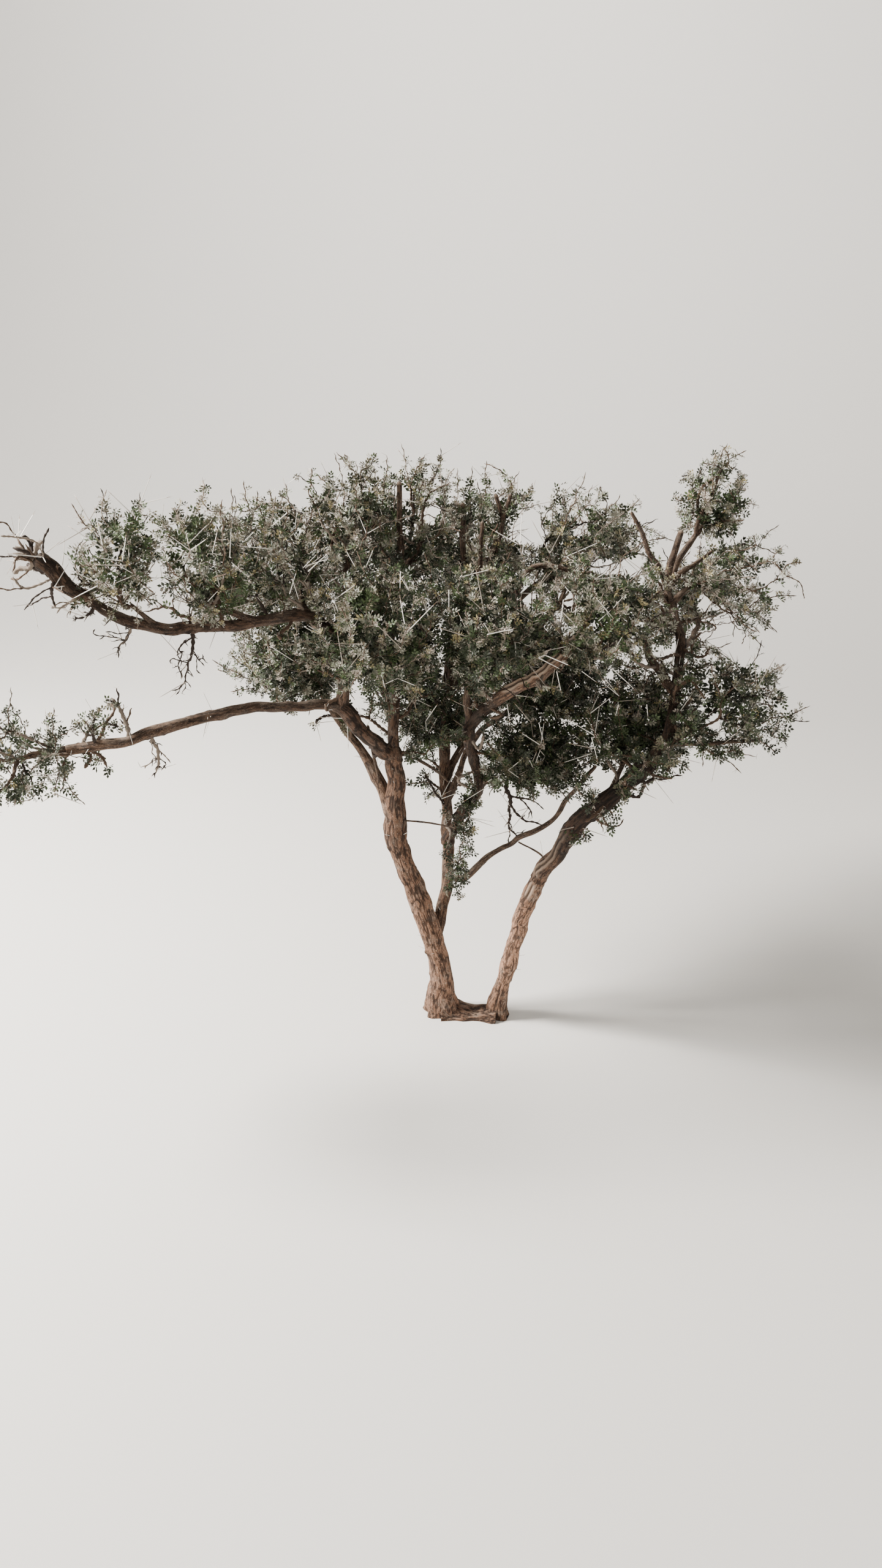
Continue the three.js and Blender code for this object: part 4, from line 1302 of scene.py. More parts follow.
class Value:
    """A shader socket that Python's operators carry on with Math nodes."""

    def __init__(self, sheet, socket):
        self.sheet = sheet
        self.socket = socket

    def maths(self, operation, *others, flipped=False):
        """A Math node on this value and others, or on a number first where it is flipped."""
        values = [self, *others]
        if flipped:
            values.reverse()
        return self.sheet.node("ShaderNodeMath", {"operation": operation}, dict(enumerate(values)))

    def __add__(self, other):
        return self.maths("ADD", other)

    def __sub__(self, other):
        return self.maths("SUBTRACT", other)

    def __mul__(self, other):
        return self.maths("MULTIPLY", other)

    def __rsub__(self, other):
        return self.maths("SUBTRACT", other, flipped=True)

    __radd__ = __add__
    __rmul__ = __mul__

    def clamped(self):
        """The value kept between 0 and 1."""
        return self.sheet.node("ShaderNodeClamp", {}, {"Value": self})

    def between(self, low, high):
        """From 0 at low to 1 at high, with level ends."""
        places = {"Value": self, "From Min": low, "From Max": high}
        return self.sheet.node("ShaderNodeMapRange", {"interpolation_type": "SMOOTHSTEP"}, places)


class Sheet:
    """A material's node tree."""

    def __init__(self, name):
        self.material = bpy.data.materials.new(name)
        self.material.use_nodes = True
        self.tree = self.material.node_tree
        self.tree.nodes.clear()

    def node(self, kind, settings, sockets, output=0):
        """Adds a node, sets its settings, then the values or links of its sockets."""
        made = self.tree.nodes.new(kind)
        for key, setting in settings.items():
            setattr(made, key, setting)
        for key, value in sockets.items():
            if isinstance(value, Value):
                self.tree.links.new(value.socket, made.inputs[key])
            else:
                made.inputs[key].default_value = value
        return Value(self, made.outputs[output]) if made.outputs else None

    def colour_mix(self, share, first, second):
        """The colour that lies a share of the way from the first to the second."""
        mixer = self.tree.nodes.new("ShaderNodeMix")
        mixer.data_type = "RGBA"
        for name, value in (("Factor_Float", share), ("A_Color", first), ("B_Color", second)):
            socket = next(s for s in mixer.inputs if s.identifier == name)
            if isinstance(value, Value):
                self.tree.links.new(value.socket, socket)
            else:
                socket.default_value = value if name == "Factor_Float" else (*value, 1)
        return Value(self, next(s for s in mixer.outputs if s.identifier == "Result_Color"))

    def noise(self, places, scale, detail, roughness=0.5):
        """Blender's noise, from 0 to 1."""
        sockets = {"Vector": places, "Scale": scale, "Detail": detail, "Roughness": roughness}
        return self.node("ShaderNodeTexNoise", {}, sockets)

    def stretched(self, places, along):
        """Places squeezed along the limb, so that a pattern on them runs lengthwise."""
        return self.node("ShaderNodeVectorMath", {"operation": "MULTIPLY"}, {0: places, 1: (1, 1, along)})

    def finish(self, sockets):
        """Ends the tree in a Principled surface with these sockets."""
        surface = self.node("ShaderNodeBsdfPrincipled", {}, sockets)
        self.node("ShaderNodeOutputMaterial", {}, {"Surface": surface})
        return self.material


def bark_material(name, look, reddish, bump):
    """Fissured bark: painted shade in the cracks between plates, grey weathering, pale specks and lips, and a
    painted sunlit upper side.

    Each layer lies over those before it where its pattern is strong.
    """
    sheet = Sheet(name)
    unrolled = sheet.node("ShaderNodeAttribute", {"attribute_name": "unrolled"}, {}, "Vector")
    crack, pale, age, tone = (sheet.node("ShaderNodeAttribute", {"attribute_name": key}, {}, "Fac")
                              for key in ("crack", "pale", "age", "tone"))
    facing = sheet.node("ShaderNodeNewGeometry", {}, {}, "Normal")
    upward = sheet.node("ShaderNodeSeparateXYZ", {}, {"Vector": facing}, "Z")
    lengthwise = sheet.stretched(unrolled, LENGTHWISE)
    fibres = sheet.noise(lengthwise, *FIBRES)
    flakes = sheet.noise(lengthwise, *FLAKES)
    patches = sheet.noise(unrolled, *PATCHES)
    specks = sheet.noise(unrolled, *SPECKS)
    plate = sheet.colour_mix(flakes.between(0.38, 0.62), look.plate_dark, look.plate_light)
    layers = (
        ((age * reddish * flakes.between(0.3, 0.65)).clamped(), look.plate_red),
        (patches.between(0.5, 0.72) * 0.45, look.weathered),
        # Painted sunlight: the upper side of the limbs is lighter where light falls from above
        (upward.between(0.2, 1.0) * patches.between(0.35, 0.65) * 0.35, look.bleached_and_sunlit),
        (fibres.between(0.52, 0.34) * 0.8, look.crack),
        (specks.between(0.60, 0.68) * 0.45, look.bleached_and_sunlit),
        # Painted shade in the cracks and the seam's groove, with the dark knots of the spurs
        (crack.between(0.15, 0.85) * 0.8, look.crack),
        (pale * 0.6, look.bleached_and_sunlit),
    )
    for share, colour in layers:
        plate = sheet.colour_mix(share, plate, colour)
    # Painted light and shade: the colour scaled by the value given along the limb
    colour = sheet.node("ShaderNodeVectorMath", {"operation": "SCALE"}, {0: plate, "Scale": tone})
    height = fibres * 0.6 + flakes * 0.5 + specks * 0.3 - crack * 0.3
    relief = {"Height": height, "Strength": GRAIN_STRENGTH, "Distance": bump}
    normal = sheet.node("ShaderNodeBump", {}, relief)
    least, more = BARK_ROUGHNESS
    return sheet.finish({"Base Color": colour, "Roughness": least + fibres * more, "Normal": normal,
                         "Specular IOR Level": BARK_SHINE})


def plain_material(name, colour, roughness, shine):
    """One tint of the small parts, which get their variety from many tints and their own shapes."""
    sheet = Sheet(name)
    return sheet.finish({"Base Color": (*colour, 1), "Roughness": roughness, "Specular IOR Level": shine})


@functools.cache
def tint_materials(part):
    """The tints of the leaves, the twigs or the thorns, in the order of their numbers."""
    look = getattr(bpy.context.scene, "acacia_" + part)
    return [plain_material(name, getattr(look, tint), roughness, shine)
            for name, tint, roughness, shine in SMALL_PARTS[part]]


# Leaves


@functools.cache
def leaf_shape():
    """A feathery leaf: a thin stalk one unit long, with folded blades on both sides and at its end."""
    vertices, triangles = [], []

    def blade(root, way, width, up, fold=0):
        side = unit(np.cross(up, way)) * width / 2
        i = len(vertices)
        waist = root + way * 0.5 - up * fold * width / 2
        vertices.extend([root, waist - side, root + way, waist + side])
        triangles.extend([(i, i + 1, i + 2), (i, i + 2, i + 3)])

    up = np.array([0, 0, 1.0])
    stalk_end = np.array([1.0, 0, -LEAF_DROOP])
    vertices.extend([np.array([0, -0.025, 0]), stalk_end, np.array([0, 0.025, 0])])
    triangles.append((0, 1, 2))
    for share, lean, length in LEAF_ROWS:
        root = np.array([share, 0, -LEAF_DROOP * share * share])
        for side in (-1, 1):
            way = np.array([math.cos(lean), side * math.sin(lean), 0.2]) * length
            blade(root, way, BLADE_WIDTH, unit(up + (0, -side * 0.45, 0)), BLADE_FOLD)
    blade(stalk_end * (0.9, 1, 1), np.array([1, 0, -0.1]) * LEAF_END, BLADE_WIDTH, up, BLADE_FOLD)
    return np.array(vertices), np.array(triangles)


def add_leaves(pile, roots, ways, ups, lengths, tints):
    """Adds a leaf at each root."""
    vertices, triangles = leaf_shape()
    ways = unit(ways)
    sides = unit(np.cross(ups, ways))
    axes = np.stack([ways, sides, np.cross(ways, sides)], axis=1) * lengths[:, None, None]
    placed = np.einsum("vi,nij->nvj", vertices, axes) + roots[:, None]
    pile.add_copies(placed, triangles, np.repeat(tints, len(triangles)))


def leafy_nodes(twigs):
    """The nodes of thin wood: places, ways, sides and the spray that each belongs to."""
    places, ways, sides, sprays = [], [], [], []
    spray = 0
    for twig in twigs:
        nodes = np.flatnonzero((np.arange(len(twig.line)) % 2 == 1) & (twig.radii < LEAFY_RADIUS))
        if not len(nodes):
            continue
        turn = nodes * NODE_TURN + spray
        side = ways_out(twig.across[nodes], twig.other[nodes], turn)
        places.append(twig.line[nodes] + side * twig.radii[nodes][:, None] * 0.6)
        ways.append(twig.ways[nodes])
        sides.append(side)
        sprays.append(spray + np.arange(len(nodes)) // SPRAY_NODES)
        spray = sprays[-1][-1] + 1
    return np.concatenate(places), np.concatenate(ways), np.concatenate(sides), np.concatenate(sprays)


def add_tufts(pile, twigs, look, openness, rng, space=None):
    """Adds a tuft of leaves at each leafy node, larger inside a mass, and with painted shade inside it and
    low down.
    """
    places, ways, sides, sprays = leafy_nodes(twigs)
    count = sprays.max() + 1
    inner = np.zeros(len(places))
    if space is not None:
        inner = smooth_step(np.linalg.norm((places - space.middle) / space.half, axis=1), *INNER_PART)
    core = CORE_SHADE * seen_in(SHADY_CORE, places)
    shade = np.max([inner, smooth_step(places[:, 2], *SHADY_HEIGHTS), core], axis=0)
    shady = shade > rng.random(count)[sprays]
    fresh = seen_in(GREEN_PATCHES, places)

    def tinted(count, each):
        dealt = [rng.choice(len(TINTS), size=count, p=p)[each] for p in (FRESH, SHADED, SUNLIT)]
        return np.select((fresh, shady, ~shady), dealt)

    tints = tinted(count, sprays)
    bare = openness * smooth_step(noise(places / GAP_SIZE, count), *BARE_NOISE) * 2
    grows = rng.random(count)[sprays] > bare
    fresh, shady = fresh[grows], shady[grows]
    places, ways, sides, tints, inner = (v[grows] for v in (places, ways, sides, tints, inner))
    first = rng.uniform(0, 2 * math.pi, len(places))
    for leaf in range(look.leaves_each):
        turn = first + leaf / look.leaves_each * 2 * math.pi + rng.normal(0, TURN_SPREAD, len(places))
        around = ways_out(sides, np.cross(ways, sides), turn)
        opening = rng.uniform(*LEAF_OPENING, (len(places), 1))
        out = around * np.sin(opening) + ways * np.cos(opening)
        out = unit(out + rng.normal(0, WAY_SPREAD, places.shape))
        ups = ways + rng.normal(0, UP_SPREAD, places.shape) + (0, 0, UP_LIFT)
        stray = rng.random(len(places)) < STRAY_LEAVES
        own = np.where(stray, tinted(len(places), np.arange(len(places))), tints)
        lengths = look.leaf_length * rng.uniform(*LEAF_SIZES, len(places)) * (1 + INNER_GROWTH * inner)
        lengths *= np.array(TINT_SIZES)[own]
        keep = (rng.random(len(places)) < mix(*LATER_LEAVES, inner)) | (leaf < FEWEST_LEAVES)
        tips = places + out * lengths[:, None]
        keep &= in_box(tips) & ~seen_in(SKY_GAPS, tips, rng.uniform(*LEAF_GAP_SHARES, len(tips)))
        keep &= clear_of_limbs(space, tips, LEAF_LIMB_CLEAR)
        keep &= ~(seen_in(BARE_VIEWS, tips) & (tips[:, 1] < HIDING_DEPTH))
        if space is not None:
            keep &= in_space(space, tips, -LEAF_OVERREACH)
        add_leaves(pile, places[keep], out[keep], ups[keep], lengths[keep], own[keep])


# Thorns


def add_thorns(pile, roots, ways, lengths, tints):
    """Adds a straight thorn at each root, with a darker tip."""
    ways = unit(ways)
    across = unit(np.cross(ways, (0.3, 0.2, 1.0)))
    other = np.cross(ways, across)
    base = THORN_BASE * np.sqrt(np.clip(lengths / THORN_BASE_LENGTH, *THORN_BASE_RANGE))
    corners = []
    for share, girth in ((0, 1), THORN_WAIST):
        for turn in (0, 1 / 3, 2 / 3):
            spoke = across * math.cos(turn * 2 * math.pi) + other * math.sin(turn * 2 * math.pi)
            corners.append(roots + ways * (lengths * share)[:, None] + spoke * (base * girth)[:, None])
    corners.append(roots + ways * lengths[:, None])
    vertices = np.stack(corners, axis=1)
    side = [(i, (i + 1) % 3, (i + 1) % 3 + 3) for i in range(3)]
    side += [(i, (i + 1) % 3 + 3, i + 3) for i in range(3)]
    tip = [(i + 3, (i + 1) % 3 + 3, 6) for i in range(3)]
    triangles = np.array(side + tip)
    colours = np.concatenate([np.repeat(tints[:, None], len(side), 1), np.full((len(roots), len(tip)), 2)], 1)
    pile.add_copies(vertices, triangles, colours.ravel())


def thorn_pairs(pile, twig, nodes, lengths, rng):
    """Adds a pair of thorns, spread in a V, at each of a twig's nodes."""
    out = ways_out(twig.across[nodes], twig.other[nodes], rng.uniform(0, 2 * math.pi, len(nodes)))
    beside = np.cross(twig.ways[nodes], out)
    tints = (rng.random(len(nodes)) < GREY_THORNS).astype(int)
    for side in (-1, 1):
        opened = THORN_OPEN * rng.uniform(*THORN_OPENING, (len(nodes), 1))
        ways = out * np.cos(opened) + beside * side * np.sin(opened) + twig.ways[nodes] * THORN_LEAN
        ways = unit(ways + (0, 0, THORN_LIFT))
        roots = twig.line[nodes] + ways * twig.radii[nodes][:, None] * 0.5
        reach = lengths * rng.uniform(*PAIR_SIZES, len(nodes))
        tips = roots + ways * reach[:, None]
        keep = in_box(tips) & clear_of_limbs(None, tips, 0)
        add_thorns(pile, roots[keep], ways[keep], reach[keep], tints[keep])


def add_twig_thorns(pile, twigs, thorn_length, rng, long_share=LONG_THORNS, short_share=SHORT_THORNS):
    """Adds long and short thorns at the nodes of a mass's twigs."""
    for twig in twigs:
        nodes = np.flatnonzero(np.arange(len(twig.line)) % 2 == 1)
        draw = rng.random(len(nodes))
        long_nodes = nodes[draw < long_share]
        short_nodes = nodes[(draw > long_share) & (draw < long_share + short_share)]
        long_lengths = thorn_length * rng.uniform(*LONG_THORN, len(long_nodes))
        short_lengths = thorn_length * rng.uniform(*SHORT_THORN, len(short_nodes))
        for chosen, lengths in ((long_nodes, long_lengths), (short_nodes, short_lengths)):
            if len(chosen):
                thorn_pairs(pile, twig, chosen, lengths, rng)


# Sizes and colours that a user would change


def length_property(name, description, default):
    """A length in metres."""
    return FloatProperty(name=name, description=description, default=default, min=0, unit="LENGTH")


def colour_property(name, description, default):
    """A colour."""
    return FloatVectorProperty(name=name, description=description, default=default, size=3, min=0,
                               max=1, subtype="COLOR")


def power_property(name, description, default):
    """The power of a light."""
    return FloatProperty(name=name, description=description, default=default, min=0, unit="POWER")


class AcaciaBark(bpy.types.PropertyGroup):
    """The bark of the stems and boughs"""

    crack_depth: length_property("Crack depth", "Depth of the cracks in old bark", 0.0013)
    bump: length_property("Grain", "Height of the bark's finest grain", 0.0012)
    plate_dark: colour_property("Dark plates", "Shaded plates of bark", (0.036, 0.022, 0.016))
    plate_light: colour_property("Light plates", "Lighter plates of bark", (0.150, 0.098, 0.068))
    plate_red: colour_property("Old bark", "Reddish brown of the oldest stems", (0.180, 0.096, 0.060))
    weathered: colour_property("Weathering", "Grey weathered skin", (0.185, 0.150, 0.124))
    # Pale bark of specks, seam lips and cut ends, also painted sunlight on the limbs' upper side
    bleached_and_sunlit: colour_property("Bleached side", "Sunlit upper side of the limbs", (0.400, 0.310, 0.240))
    # Painted shade at the bottom of the cracks; the same dark brown marks the grain's fibres
    crack: colour_property("Cracks", "Bottom of the cracks", (0.014, 0.008, 0.006))


class AcaciaTwigs(bpy.types.PropertyGroup):
    """The twigs of the crown"""

    fine_twigs: IntProperty(name="Fine twigs", description="Fine twigs of a mass of middling size",
                            default=124, min=10)
    internode: length_property("Half internode", "Half the length between two nodes", 0.006)
    brown: colour_property("Brown", "Young brown twigs", (0.085, 0.055, 0.038))
    grey: colour_property("Grey", "Weathered grey twigs", (0.185, 0.150, 0.122))
    dark: colour_property("Dark", "Shaded and dead twigs", (0.030, 0.021, 0.017))


class AcaciaLeaves(bpy.types.PropertyGroup):
    """The leaves, dealt out in tints by spray"""

    leaf_length: length_property("Leaf stalk", "Length of a middling leaf's stalk", 0.0100)
    leaves_each: IntProperty(name="Leaves in a tuft", description="Most leaves in one tuft", default=5, min=1)
    openness: FloatProperty(name="Openness", description="How bare the thin parts of the crown are",
                            default=0.3, min=0, max=1, subtype="FACTOR")
    deep_green: colour_property("Deep green", "Shaded leaves", (0.024, 0.033, 0.015))
    mid_green: colour_property("Green", "Common leaves", (0.054, 0.082, 0.030))
    olive: colour_property("Olive", "Older leaves", (0.135, 0.125, 0.078))
    # Grey green and dry beige are also painted highlights of sunlit leaves, given more to sprays in sun
    grey_green: colour_property("Grey green", "Dusty leaves", (0.250, 0.245, 0.195))
    yellow_olive: colour_property("Yellow olive", "Sunlit young leaves", (0.330, 0.280, 0.140))
    dry_and_sunlit_beige: colour_property("Dry beige", "Dry leaves", (0.430, 0.375, 0.320))


class AcaciaThorns(bpy.types.PropertyGroup):
    """The paired thorns"""

    thorn_length: length_property("Thorn length", "Length of a long thorn", 0.060)
    white: colour_property("White", "Shafts of fresh thorns", (0.860, 0.820, 0.760))
    # Grey shafts: old thorns, and partly painted shade of thorns inside the crown
    grey: colour_property("Grey", "Shafts of old thorns", (0.400, 0.350, 0.300))
    tip: colour_property("Tips", "Tips of the thorns", (0.300, 0.190, 0.130))


class AcaciaStage(bpy.types.PropertyGroup):
    """The floor and lights"""

    floor: colour_property("Floor", "Colour of the floor and the air", (0.780, 0.765, 0.740))
    key_power: power_property("Key light", "Power of the main light", 640)
    fill_power: power_property("Fill light", "Power of the second light", 15)
    backdrop_power: power_property("Backdrop light", "Power of the light on the wall", 160)
    air: FloatProperty(name="Air", description="Strength of the light from all round", default=0.33, min=0)


# Operators, one for each piece or group of like pieces


class ACACIA_OT_stage(bpy.types.Operator):
    """Makes the floor, the lights and the camera"""

    bl_idname = "acacia.stage"
    bl_label = "Stage"

    def execute(self, context):
        look = context.scene.acacia_stage
        self.add_floor(look)
        tree, wall, warm = (0, 0, 0.75), (0, 9, 2.2), (1.0, 0.98, 0.95)
        # Name, place, target, power, size and colour
        lights = (
            ("key", (-3.05, -0.05, 2.9), tree, look.key_power, 1.1, (1.0, 0.955, 0.89)),
            ("fill", (2.8, -2.4, 1.7), tree, look.fill_power, 2.4, (0.90, 0.95, 1.0)),
            ("rim", (0.9, 2.7, 2.6), tree, look.fill_power * 0.6, 3.2, warm),
            ("backdrop", (0, 3.6, 4.2), wall, look.backdrop_power, 2.5, warm),
        )
        for light in lights:
            self.add_light(context, *light)
        self.add_air(context, look)
        self.add_camera(context)
        return {"FINISHED"}

    def add_floor(self, look):
        """A round floor that bends up smoothly into a wall far off all round."""
        heading = math.pi / 2 * smooth_step(np.linspace(0, 1, FLOOR_RINGS), 0, 1)
        step = FLOOR_BEND / FLOOR_RINGS
        reach = np.cumsum(np.concatenate([[0.01, FLOOR_RADIUS], np.cos(heading) * step, [0]]))
        height = np.cumsum(np.concatenate([[0, 0], np.sin(heading) * step, [FLOOR_WALL]]))
        turns = turns_round(FLOOR_SIDES)
        rings = np.stack([reach[:, None] * np.cos(turns), reach[:, None] * np.sin(turns),
                          height[:, None] + 0 * turns], -1)
        skin = 2 * (len(reach) - 1) * FLOOR_SIDES + FLOOR_SIDES - 2
        pile = Pile()
        pile.add(rings, tube_triangles(len(reach), FLOOR_SIDES)[:skin])
        pile.made("floor", [plain_material("floor", look.floor, 0.95, 0.1)])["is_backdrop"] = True

    def add_light(self, context, name, place, target, power, size, colour):
        """A square light that faces a target."""
        light = bpy.data.lights.new(name, "AREA")
        light.energy, light.size, light.color = power, size, colour
        lamp = bpy.data.objects.new(name, light)
        lamp.location = place
        lamp.rotation_euler = (Vector(target) - Vector(place)).to_track_quat("-Z", "Y").to_euler()
        context.scene.collection.objects.link(lamp)

    def add_air(self, context, look):
        """Even light from all round."""
        world = bpy.data.worlds.new("air")
        world.use_nodes = True
        background = world.node_tree.nodes["Background"]
        background.inputs["Color"].default_value = (*look.floor, 1)
        background.inputs["Strength"].default_value = look.air
        context.scene.world = world

    def add_camera(self, context):
        """The camera at the photograph's place."""
        data = bpy.data.cameras.new("camera")
        data.sensor_width = SENSOR_MM
        data.lens = SENSOR_MM * FOCAL_PX / FRAME_HEIGHT_PX
        camera = bpy.data.objects.new("camera", data)
        camera.location = CAMERA_PLACE
        camera.rotation_euler = (math.pi / 2 - CAMERA_PITCH, 0, 0)
        context.scene.collection.objects.link(camera)
        context.scene.camera = camera


class ACACIA_OT_limbs(bpy.types.Operator):
    """Makes the stems and boughs, each with its bark's relief"""

    bl_idname = "acacia.limbs"
    bl_label = "Stems and boughs"

    def execute(self, context):
        look = context.scene.acacia_bark
        old = bark_material("old_bark", look, REDNESS["old"], look.bump)
        young = bark_material("young_bark", look, REDNESS["young"], look.bump * YOUNG_GRAIN)
        for limb in planned_limbs().values():
            stout = limb.radii[0] > STOUT_LIMB
            piece = limb_skin(limb, look.crack_depth).made(limb.name + "_bark", [old if stout else young])
            place_piece(piece, "bark" if stout else "twig_bark", limb.name)
        piece = root_crown_skin(look.crack_depth).made("root_crown_bark", [old])
        place_piece(piece, "bark", "root_crown")
        return {"FINISHED"}


def make_regions(name, slot, materials, add, smooth=True):
    """Makes a piece for each region of the crown, to which each mass there adds its part."""
    look = bpy.context.scene.acacia_twigs
    for region in REGIONS:
        pile = Pile()
        masses = [mass for mass in MASSES.values() if mass.region == region]
        for mass in masses:
            add(pile, mass, grown_mass(mass, look.fine_twigs, look.internode))
        nodes = [mass.name + "_foliage" for mass in masses]
        place_piece(pile.made(f"{name}_{region}", materials, smooth), slot, *nodes)


def stout_places(twig):
    """How many of a twig's places are stout enough for bark with relief."""
    return int((twig.radii > STOUT_TWIG).sum())


class ACACIA_OT_inner_boughs(bpy.types.Operator):
    """Makes the stout wood inside the masses, which carries the boughs' bark on"""

    bl_idname = "acacia.inner_boughs"
    bl_label = "Inner boughs"

    def execute(self, context):
        depth = context.scene.acacia_bark.crack_depth

        def add(pile, mass, twigs):
            for i, twig in enumerate(twigs):
                stout = stout_places(twig)
                if stout > 2:
                    line, _ = spaced_places(twig.line[:stout], FINE_FACET, 3)
                    radii = spread_over(twig.radii[:stout], len(line))
                    barked(pile, line, radii, mass.seed * BOUGH_SEEDS + i, depth)

        make_regions("inner_boughs", "twig_bark", [bpy.data.materials["young_bark"]], add)
        return {"FINISHED"}


def add_twig(pile, twig, tint, start=0, tip=0.5, sides=(6, 4), round_from=STOUT_TWIG):
    """Adds a twig's skin from a place on, with more sides where it is stout."""
    radii = twig.radii[start:].copy()
    radii[-1] *= tip
    count = sides[0] if radii.max() > round_from else sides[1]
    out = ways_out(twig.across[start:, None], twig.other[start:, None], turns_round(count))
    vertices = twig.line[start:, None] + out * radii[:, None, None]
    pile.add(vertices, tube_triangles(len(radii), count), tint)


class ACACIA_OT_twigs(bpy.types.Operator):
    """Makes the fine twigs of the crown"""

    bl_idname = "acacia.twigs"
    bl_label = "Twigs"

    def execute(self, context):
        def add(pile, mass, twigs):
            rng = np.random.default_rng(mass.seed)
            for twig in twigs:
                tint = rng.choice(3, p=TWIG_TINTS)
                add_twig(pile, twig, tint, max(0, stout_places(twig) - 2), 0.4, (5, 3), ROUND_TWIG)

        make_regions("twigs", "twig_bark", tint_materials("twigs"), add)
        return {"FINISHED"}


class ACACIA_OT_leaves(bpy.types.Operator):
    """Makes the leaves in tufts on the twigs, in tints dealt out by spray"""

    bl_idname = "acacia.leaves"
    bl_label = "Leaves"

    def execute(self, context):
        look = context.scene.acacia_leaves

        def add(pile, mass, twigs):
            openness = 0 if mass.fullness > FULL_MASS else look.openness
            rng = np.random.default_rng(mass.seed + LEAF_SEED)
            add_tufts(pile, twigs, look, openness, rng, space_of(mass))

        make_regions("leaves", "foliage", tint_materials("leaves"), add, smooth=False)
        return {"FINISHED"}


class ACACIA_OT_thorns(bpy.types.Operator):
    """Makes the thorns of the crown, in pairs"""

    bl_idname = "acacia.thorns"
    bl_label = "Thorns"

    def execute(self, context):
        length = context.scene.acacia_thorns.thorn_length

        def add(pile, mass, twigs):
            add_twig_thorns(pile, twigs, length, np.random.default_rng(mass.seed + THORN_SEED))

        make_regions("thorns", "foliage", tint_materials("thorns"), add)
        return {"FINISHED"}


class ACACIA_OT_bare_wood(bpy.types.Operator):
    """Makes the dead knot at the left limb's tip, and the small twigs that the limbs carry"""

    bl_idname = "acacia.bare_wood"
    bl_label = "Bare wood"

    def execute(self, context):
        scene = context.scene
        internode, thorn_length = scene.acacia_twigs.internode, scene.acacia_thorns.thorn_length
        rng = np.random.default_rng(BARE_WOOD_SEED)
        self.make_knot(scene, internode, rng)
        self.make_stubs(scene)
        wood, thorns, leaves = Pile(), Pile(), Pile()
        grown = grown_sprigs(internode) + [(twig, "leafy") for twig in grown_shoots(internode)]
        for kind, (_, _, tints) in SPRIG_KINDS.items():
            twigs = [twig for twig, its_kind in grown if its_kind == kind]
            for twig in twigs:
                add_twig(wood, twig, rng.choice(3, p=tints))
            add_twig_thorns(thorns, twigs, thorn_length, rng, short_share=SPRIG_SHORT_THORNS)
            if kind in ("leafy", "hanging"):
                add_tufts(leaves, twigs, scene.acacia_leaves, 0, rng)
        for limb in planned_limbs().values():
            add_limb_thorns(thorns, limb, thorn_length, rng)
        root_x, root_y, tip_x, tip_y, behind = THORNS_SEEN.T
        roots = seen_at(root_x, root_y, behind / 1000)
        ways = seen_at(tip_x, tip_y, behind / 1000) - roots
        add_thorns(thorns, roots, ways, np.linalg.norm(ways, axis=1), np.zeros(len(ways), int))
        place_piece(wood.made("sprig_wood", tint_materials("twigs")), "twig_bark")
        place_piece(thorns.made("limb_thorns", tint_materials("thorns")), "twig_bark")
        place_piece(leaves.made("sprig_leaves", tint_materials("leaves"), smooth=False), "foliage")
        return {"FINISHED"}

    def make_knot(self, scene, internode, rng):
        """The broken end of the upper left limb, with its splinters, twigs and thorns."""
        stub, wood, thorns = Pile(), Pile(), Pile()
        line, _ = spaced_places(KNOT_COURSE, OLD_FACET, 8)
        barked(stub, line, np.linspace(*KNOT_RADII, len(line)), KNOT_SEED, scene.acacia_bark.crack_depth,
               OLD_FACET, KNOT_LOOK, rounded=True)
        knot = grown_mass(BARE_MASS, scene.acacia_twigs.fine_twigs, internode)
        for twig in knot:
            add_twig(wood, twig, rng.choice(3, p=KNOT_TINTS))
        for i, end in enumerate(SPLINTERS):
            random = seeded(SPLINTER_SEED + i)
            splinter = Wood(KNOT_COURSE[-1])
            splinter.branch_to(end, random, SPRIG_RUN)
            for _ in range(SHOOT_FORKS):
                base = splinter.places[splinter.count - 1]
                splinter.branch_to(base + unit(any_way(random)) * SPRIG_RUN, random, SPRIG_RUN)
            splinter.thicken(SPLINTER_RADIUS, FINE_TIP_RADIUS)
            for run in splinter.runs():
                add_twig(wood, twig_of(splinter, run, internode), rng.choice(3, p=SPLINTER_TINTS))
        add_twig_thorns(thorns, knot, scene.acacia_thorns.thorn_length, rng, *KNOT_THORNS)
        pieces = (
            stub.made("left_knot_stub", [bpy.data.materials["young_bark"]]),
            wood.made("left_knot_wood", tint_materials("twigs")),
            thorns.made("left_knot_thorns", tint_materials("thorns")),
        )
        for piece in pieces:
            place_piece(piece, "dead_twigs", "left_knot_twigs")

    def make_stubs(self, scene):
        """The stubs and bare shoots, with bark."""
        pile = Pile()
        for i, (limb_name, places, radii) in enumerate(STUBS):
            places = metres(places)
            course = np.vstack([foot_on(limb_name, places[0]), places])
            line, _ = spaced_places(course, YOUNG_FACET, 8)
            barked(pile, line, np.linspace(*metres(radii)[0], len(line)), STUB_SEED + i,
                   scene.acacia_bark.crack_depth, YOUNG_FACET, rounded=True, pale_end=1)
        place_piece(pile.made("stubs", [bpy.data.materials["young_bark"]]), "twig_bark")


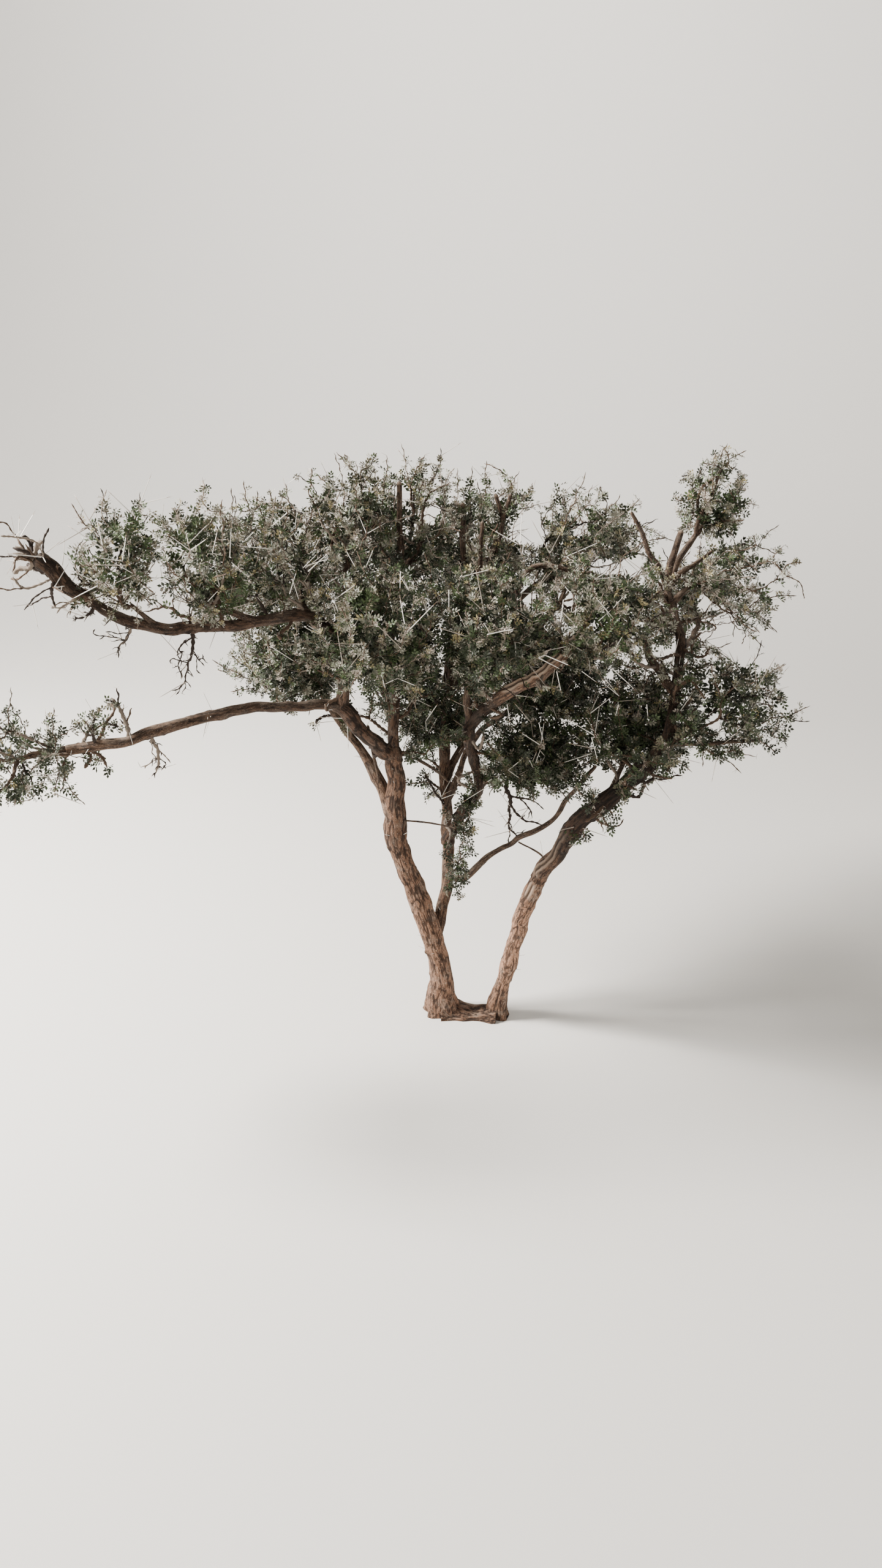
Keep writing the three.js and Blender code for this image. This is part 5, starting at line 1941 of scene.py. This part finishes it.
def add_limb_thorns(pile, limb, thorn_length, rng):
    """Adds a few thorns on a limb's bark."""
    line, length = spaced_places(limb.course, RING_RUN / 12, 3)
    ways = headings(line)
    across, other = frames_along(ways)
    radii = np.linspace(limb.radii[0], limb.radii[-1], len(line))
    twig = Twig(line, radii * LIMB_THORN_FOOT, ways, across, other)
    above = np.flatnonzero(line[:, 2] > LOWEST_THORN)
    nodes = rng.choice(above, size=int(length / LIMB_THORN_SPACING), replace=False)
    if len(nodes):
        thorn_pairs(pile, twig, nodes, thorn_length * rng.uniform(*LIMB_THORN, len(nodes)), rng)


class ACACIA_PT_tree(bpy.types.Panel):
    """The acacia's sizes, colours and pieces"""

    bl_label = "Acacia tree"
    bl_space_type = "VIEW_3D"
    bl_region_type = "UI"
    bl_category = "Acacia"

    def draw(self, context):
        for operator in OPERATORS:
            self.layout.operator(operator.bl_idname)
        for key in GROUPS:
            settings = getattr(context.scene, key)
            box = self.layout.box()
            for name in settings.__annotations__:
                box.prop(settings, name)


GROUPS = {
    "acacia_stage": AcaciaStage,
    "acacia_bark": AcaciaBark,
    "acacia_twigs": AcaciaTwigs,
    "acacia_leaves": AcaciaLeaves,
    "acacia_thorns": AcaciaThorns,
}
OPERATORS = (
    ACACIA_OT_stage,
    ACACIA_OT_limbs,
    ACACIA_OT_inner_boughs,
    ACACIA_OT_twigs,
    ACACIA_OT_leaves,
    ACACIA_OT_thorns,
    ACACIA_OT_bare_wood,
)


def register():
    """Adds the classes and the scene's settings."""
    for group in (*GROUPS.values(), *OPERATORS, ACACIA_PT_tree):
        bpy.utils.register_class(group)
    for key, group in GROUPS.items():
        setattr(bpy.types.Scene, key, PointerProperty(type=group))


def unregister():
    """Takes them away."""
    for key in GROUPS:
        delattr(bpy.types.Scene, key)
    for group in reversed((*GROUPS.values(), *OPERATORS, ACACIA_PT_tree)):
        bpy.utils.unregister_class(group)


def main():
    """Makes the whole tree, and works out the solids' box and the tree's."""
    register()
    bpy.ops.acacia.stage()
    bpy.ops.acacia.limbs()
    bpy.ops.acacia.inner_boughs()
    bpy.ops.acacia.twigs()
    bpy.ops.acacia.leaves()
    bpy.ops.acacia.thorns()
    bpy.ops.acacia.bare_wood()
    boxes = {"cad": CAD_BOX, "visual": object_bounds()}
    {key: [list(corner) for corner in box] for key, box in boxes.items()}


if __name__ == "__main__":
    main()
